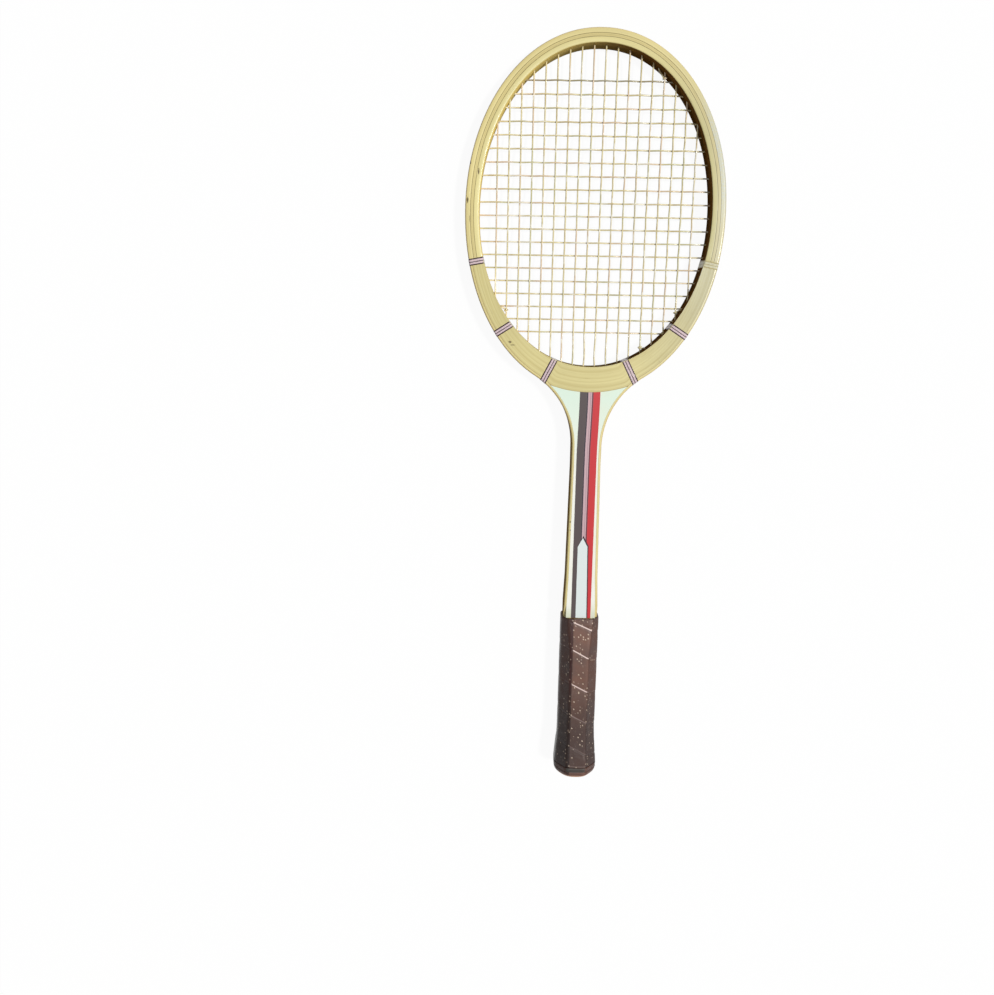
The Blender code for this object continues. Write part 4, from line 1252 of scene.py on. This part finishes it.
def seam_shift(turns):
    """How far the hand-wound seam strays from an even winding, by how many turns it has gone."""
    strays = {0.0: -0.0022, 0.125: -0.0030, 0.6: -0.0005, 1.0: 0.0026, 1.125: 0.0020, 1.6: 0.0008, 2.0: 0.0}
    return float(np.interp(turns, list(strays), list(strays.values())))


def leather_finish(name, colour, perforated):
    """Worn brown leather with fine creases, pale scuffs and small pale pits, darker off the flats.

    The tones off the flats are painted shade. The pits' pale colour is a painted glint, and the pale seam
    lips on the flats are a painted highlight.
    """
    made, nodes, shader = finish(name, 0.45, coat_weight=0.10, coat_roughness=0.35)
    space = nodes.space()
    upright = nodes.upright()
    across = nodes.split(space)["X"]
    flat = nodes.times(nodes.smooth(upright, 0.80, 0.93), nodes.smooth(across, -0.0068, -0.0058))
    s = nodes.math("ADD", nodes.split(space)["Y"], LENGTH / 2)
    fine = nodes.add("ShaderNodeTexVoronoi", {"Vector": space, "Scale": 1500.0}, feature="DISTANCE_TO_EDGE")
    creases = nodes.smooth(fine.outputs["Distance"], 0.0, 0.12)
    blotch = nodes.noise(space, 70.0, 4.0, 0.6)
    tone = nodes.mix(nodes.smooth(blotch, 0.3, 0.7), colour, srgb(126, 86, 70))
    dark = nodes.smooth(nodes.noise(space, 22.0, 2.0), 0.45, 0.7, 0.0, 0.6)
    tone = nodes.mix(dark, tone, srgb(84, 64, 60))
    if perforated:
        tone = nodes.mix(nodes.smooth(s, 0.05, 0.12, 0.85, 0.0), tone, srgb(66, 46, 41))
    # Painted shade: the bevels off the flats are darkened, the left ones more than the right.
    rightward = nodes.smooth(across, -0.004, 0.004)
    bevel_shade = nodes.mix(rightward, (0.31, 0.22, 0.19, 1.0), (0.54, 0.41, 0.34, 1.0))
    tone = nodes.toned(tone, nodes.mix(flat, bevel_shade, PLAIN))
    fold = nodes.band(across, (-0.0090, -0.0084), (-0.0074, -0.0066))
    fold = nodes.times(fold, nodes.smooth(s, 0.085, 0.105))
    fold = nodes.times(fold, nodes.smooth(upright, 0.5, 0.7))
    tone = nodes.mix(nodes.times(fold, 0.6), tone, srgb(70, 30, 32))
    scuff = nodes.smooth(nodes.noise(nodes.scaled(space, (1.0, 0.35, 1.0)), 420.0, 4.0, 0.7), 0.62, 0.70)
    tone = nodes.mix(nodes.times(scuff, 0.45), tone, srgb(176, 150, 128))
    height = creases
    if perforated:
        chart = nodes.grain_map()
        dots = nodes.add("ShaderNodeTexVoronoi", {"Vector": chart, "Scale": 420.0, "Randomness": 1.0})
        near = nodes.smooth(dots.outputs["Distance"], 0.20, 0.34, 1.0, 0.0)
        some = nodes.smooth(nodes.split(dots.outputs["Color"])["X"], 0.66, 0.86)
        mask = nodes.times(near, some)
        # The pits are real hollows; their pale colour is a painted glint, stronger on the flats.
        glint_strength = nodes.math("MULTIPLY_ADD", flat, 0.45, 0.5)
        tone = nodes.mix(nodes.times(mask, glint_strength), tone, srgb(226, 204, 180))
        height = nodes.math("SUBTRACT", height, mask)
        # Painted highlight: a pale stroke along the lower edge of each turn, on the flats only, fading
        # towards the butt.
        v = nodes.split(chart)["Y"]
        lip = nodes.band(v, (0.0003, 0.0006), (0.0014, 0.0020))
        high = nodes.smooth(s, 0.055, 0.11, 0.1, 1.0)
        bright = nodes.times(nodes.times(lip, flat), high)
        tone = nodes.mix(bright, tone, srgb(248, 224, 216))
    nodes.feed(shader.inputs["Base Color"], tone)
    nodes.feed(shader.inputs["Roughness"], nodes.smooth(blotch, 0.3, 0.7, 0.34, 0.52))
    bump(nodes, shader, height, 0.00012, 0.5)
    return made


class OBJECT_OT_racket_grip(bpy.types.Operator):
    """Winds the leather strip down the handle"""

    bl_idname = "object.racket_grip"
    bl_label = "Leather grip"

    def execute(self, context):
        settings = context.scene.racket_grip
        pitch = settings.pitch
        rows = ceil((GRIP_TOP - GRIP_BOTTOM) / pitch) + 1
        per_facet = 12
        profile = ((0.0, 0.86), (0.0005, 0.96), (0.0012, 1.02), (0.0024, 1.0))
        rings, chart = [], []
        run = 0.0
        before = None
        for index in range(rows * 8 * per_facet + 1):
            turns = index / (8 * per_facet)
            fall = pitch * grip_fall(turns)
            lower = max(GRIP_TOP - fall, GRIP_BOTTOM)
            upper = GRIP_TOP if turns <= 1 else GRIP_TOP - pitch * grip_fall(turns - 1) - SEAM_GAP
            if lower > GRIP_BOTTOM:
                lower += seam_shift(turns)
            if turns > 1:
                upper += seam_shift(turns - 1)
            span = upper - lower
            if span < 0.0010:
                continue
            reach = min(1.0, span / 0.006)
            ring = []
            for away, thick in profile:
                ring.append((lower + away * reach, GLUE_LINE + LEATHER * thick))
            for share in (0.25, 0.5, 0.75):
                crown = 1.0 + 0.05 * sin(pi * share)
                ring.append((lower + span * share, GLUE_LINE + LEATHER * crown))
            for away, thick in profile[::-1]:
                thinner = thick * 0.88 if turns > 1 else thick
                ring.append((upper - away * reach, GLUE_LINE + LEATHER * thinner))
            ring += [(upper, GLUE_LINE), (lower + span / 2, GLUE_LINE), (lower, GLUE_LINE)]
            points = [handle_skin(turns, station, out, GRIP_CORNER) for station, out in ring]
            middle = np.array(points[5])
            if before is not None:
                run += float(norm(middle - before))
            before = middle
            rings.append(points)
            chart.append((run, [station - lower for station, _ in ring]))

        def wrap(row, side):
            along, marks = chart[row % len(chart)]
            return along, marks[side % len(marks)]

        shape = loft(rings, wrap=wrap)
        leather = leather_finish("grip_leather", (*settings.leather, 1.0), True)
        piece("wound_grip", shape, leather, "leather_grip", angle=60)
        return {"FINISHED"}


class OBJECT_OT_racket_cap(bpy.types.Operator):
    """Builds the flared cap at the butt"""

    bl_idname = "object.racket_cap"
    bl_label = "Butt cap"

    def execute(self, context):
        full = CAP_FLARE + GLUE_LINE + LEATHER
        skirt = [(CAP_LENGTH, 0.0), (0.0300, 0.0), (CAP_SHOULDER, 0.0), (0.0147, 0.0)]
        skirt.append((0.0146, full - CAP_FLARE))
        band = [(0.01455, full - 0.0003), (0.0143, full - 0.0001), (0.0136, full), (0.0108, full)]
        band += [(0.0104, full - 0.0003), (0.0100, full)]
        rings = [(station, out, 0.0012) for station, out in skirt]
        rings += [(station, out - CAP_FLARE, 0.0030) for station, out in band]
        for k in range(1, 13):
            angle = pi / 2 * k / 12
            station = 0.0100 * (1 - min(1.0, sin(angle))) ** 0.8
            out = full - CAP_FLARE - 0.0118 * (1 - cos(angle)) ** 1.2
            rings.append((station, out, 0.0040 + 0.0035 * k / 12))
        count = 96
        points = []
        for station, out, soft in rings[::-1]:
            points.append([handle_skin(k / count, station, out, soft) for k in range(count)])
        hollow = [(CAP_LENGTH, -0.0006), (0.0300, -0.0006), (0.0040, -0.0006)]
        for station, out in hollow:
            ring = []
            corners = handle_corners(max(station, CAP_LENGTH), out)
            for k in range(count):
                facets = k / count * 8
                index = int(facets)
                x, z = corners[index] + (corners[(index + 1) % 8] - corners[index]) * (facets - index)
                ring.append((x, station, z))
            points.append(ring)
        shape = loft(points)
        cap = leather_finish("cap_leather", srgb(94, 66, 58), False)
        nodes = Nodes(cap.node_tree)
        shader = cap.node_tree.nodes["Principled BSDF"]
        tone = shader.inputs["Base Color"].links[0].from_socket
        spot = nodes.split(nodes.space())
        s = nodes.math("ADD", spot["Y"], LENGTH / 2)
        tone = nodes.mix(nodes.smooth(s, 0.0052, 0.0068, 0.9, 0.0), tone, srgb(190, 126, 74))
        rim = nodes.band(s, (0.0098, 0.0104), (0.0140, 0.0146))
        middle = nodes.smooth(nodes.math("ABSOLUTE", spot["X"]), 0.0085, 0.0100, 0.85, 0.10)
        tone = nodes.mix(nodes.times(rim, middle), tone, srgb(66, 66, 62))
        nodes.feed(shader.inputs["Base Color"], tone)
        piece("cap", shape, cap, "butt_cap", angle=50)
        return {"FINISHED"}


class OBJECT_OT_racket_stage(bpy.types.Operator):
    """Sets the floor, the lamps, the world and the photograph's camera"""

    bl_idname = "object.racket_stage"
    bl_label = "Stage"

    def execute(self, context):
        scene = context.scene
        mesh = bpy.data.meshes.new("floor")
        half = STAGE_SIZE / 2
        tilt = (MID_HEIGHT - HALF_DEPTH) / (LENGTH - CAP_SHOULDER)
        corners = []
        for x, y in ((-half, -half), (half, -half), (half, half), (-half, half)):
            corners.append((x, y, (y + LENGTH / 2 - CAP_SHOULDER) * tilt - 0.00005))
        mesh.from_pydata(corners, [], [(0, 1, 2, 3)])
        floor = linked("floor", mesh)
        made, nodes, shader = finish("pale_floor", 0.9)
        shader.inputs["Specular IOR Level"].default_value = 0.0
        glow = nodes.add("ShaderNodeEmission", {"Color": (1, 1, 1, 1), "Strength": 1.015})
        path = nodes.add("ShaderNodeLightPath").outputs
        seen = nodes.math("MAXIMUM", path["Is Camera Ray"], path["Is Glossy Ray"])
        seen = nodes.math("MAXIMUM", seen, path["Is Transmission Ray"])
        base = nodes.mix(seen, (0.10, 0.10, 0.10, 1), (0.80, 0.80, 0.80, 1))
        nodes.feed(shader.inputs["Base Color"], base)
        share = nodes.times(seen, 0.93)
        mixed = nodes.add("ShaderNodeMixShader", {0: share, 1: shader.outputs[0], 2: glow.outputs[0]})
        output = next(node for node in nodes.tree.nodes if node.type == "OUTPUT_MATERIAL")
        nodes.feed(output.inputs["Surface"], mixed.outputs[0])
        mesh.materials.append(made)

        world = bpy.data.worlds.new("studio")
        world.use_nodes = True
        scene.world = world
        background = world.node_tree.nodes["Background"]
        background.inputs["Color"].default_value = PLAIN
        background.inputs["Strength"].default_value = 0.24

        sun = bpy.data.lights.new("key", "SUN")
        sun.energy = 2.35
        sun.angle = radians(7)
        sun.color = (1.0, 0.985, 0.95)
        key = linked("key", sun)
        key.rotation_euler = Vector((0.50, 0.03, 0.86)).to_track_quat("Z", "Y").to_euler()

        sky = bpy.data.lights.new("sky_patch", "AREA")
        sky.shape, sky.size, sky.size_y = "RECTANGLE", 0.55, 1.3
        sky.energy = 7.0
        sky.color = (0.62, 0.80, 1.0)
        patch = linked("sky_patch", sky)
        toward = Vector((0.30, 0.09, 0.95))
        patch.location = Vector(place(0.10, 0.54, 0.0)) + toward * 3
        patch.rotation_euler = toward.to_track_quat("Z", "Y").to_euler()

        turn_x, turn_y, turn_z = (radians(angle) for angle in CAMERA_TURNS)
        turn = Matrix.Rotation(turn_x, 3, "X") @ Matrix.Rotation(turn_y, 3, "Y")
        turn = turn @ Matrix.Rotation(turn_z, 3, "Z")
        data = bpy.data.cameras.new("camera")
        data.sensor_fit = "HORIZONTAL"
        data.lens = FOCAL_PIXELS / FRAME_PIXELS[0] * data.sensor_width
        data.shift_x = (FRAME_PIXELS[0] / 2 - CENTRE_PIXEL[0]) / FRAME_PIXELS[0]
        data.shift_y = (CENTRE_PIXEL[1] - FRAME_PIXELS[1] / 2) / FRAME_PIXELS[0]
        camera = linked("camera", data)
        camera.matrix_world = Matrix.Translation(place(*CAMERA_PLACE)) @ turn.transposed().to_4x4()
        scene.camera = camera
        scene.view_settings.view_transform = "Standard"
        return {"FINISHED"}


class VIEW3D_PT_racket(bpy.types.Panel):
    """Lists the racket's settings and its build steps"""

    bl_idname = "VIEW3D_PT_racket"
    bl_label = "Racket"
    bl_space_type = "VIEW_3D"
    bl_region_type = "UI"
    bl_category = "Racket"

    def draw(self, context):
        scene = context.scene
        for settings in (scene.racket_frame, scene.racket_strings, scene.racket_grip):
            box = self.layout.box()
            for key in type(settings).__annotations__:
                box.prop(settings, key)
        for step in STEPS:
            self.layout.operator(step.bl_idname)


STEPS = (
    OBJECT_OT_racket_layers,
    OBJECT_OT_racket_core,
    OBJECT_OT_racket_bow,
    OBJECT_OT_racket_shaft,
    OBJECT_OT_racket_whippings,
    OBJECT_OT_racket_strings,
    OBJECT_OT_racket_grip,
    OBJECT_OT_racket_cap,
    OBJECT_OT_racket_stage,
)
SETTINGS = {
    "racket_frame": RacketFrameSettings,
    "racket_strings": RacketStringSettings,
    "racket_grip": RacketGripSettings,
}


def register():
    for kind in (*SETTINGS.values(), *STEPS, VIEW3D_PT_racket):
        bpy.utils.register_class(kind)
    for name, kind in SETTINGS.items():
        setattr(bpy.types.Scene, name, bpy.props.PointerProperty(type=kind))


def unregister():
    for name in SETTINGS:
        delattr(bpy.types.Scene, name)
    for kind in reversed((*SETTINGS.values(), *STEPS, VIEW3D_PT_racket)):
        bpy.utils.unregister_class(kind)


def main():
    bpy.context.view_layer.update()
    register()
    for step in STEPS:
        category, name = step.bl_idname.split(".")
        getattr(getattr(bpy.ops, category), name)()


if __name__ == "__main__":
    main()
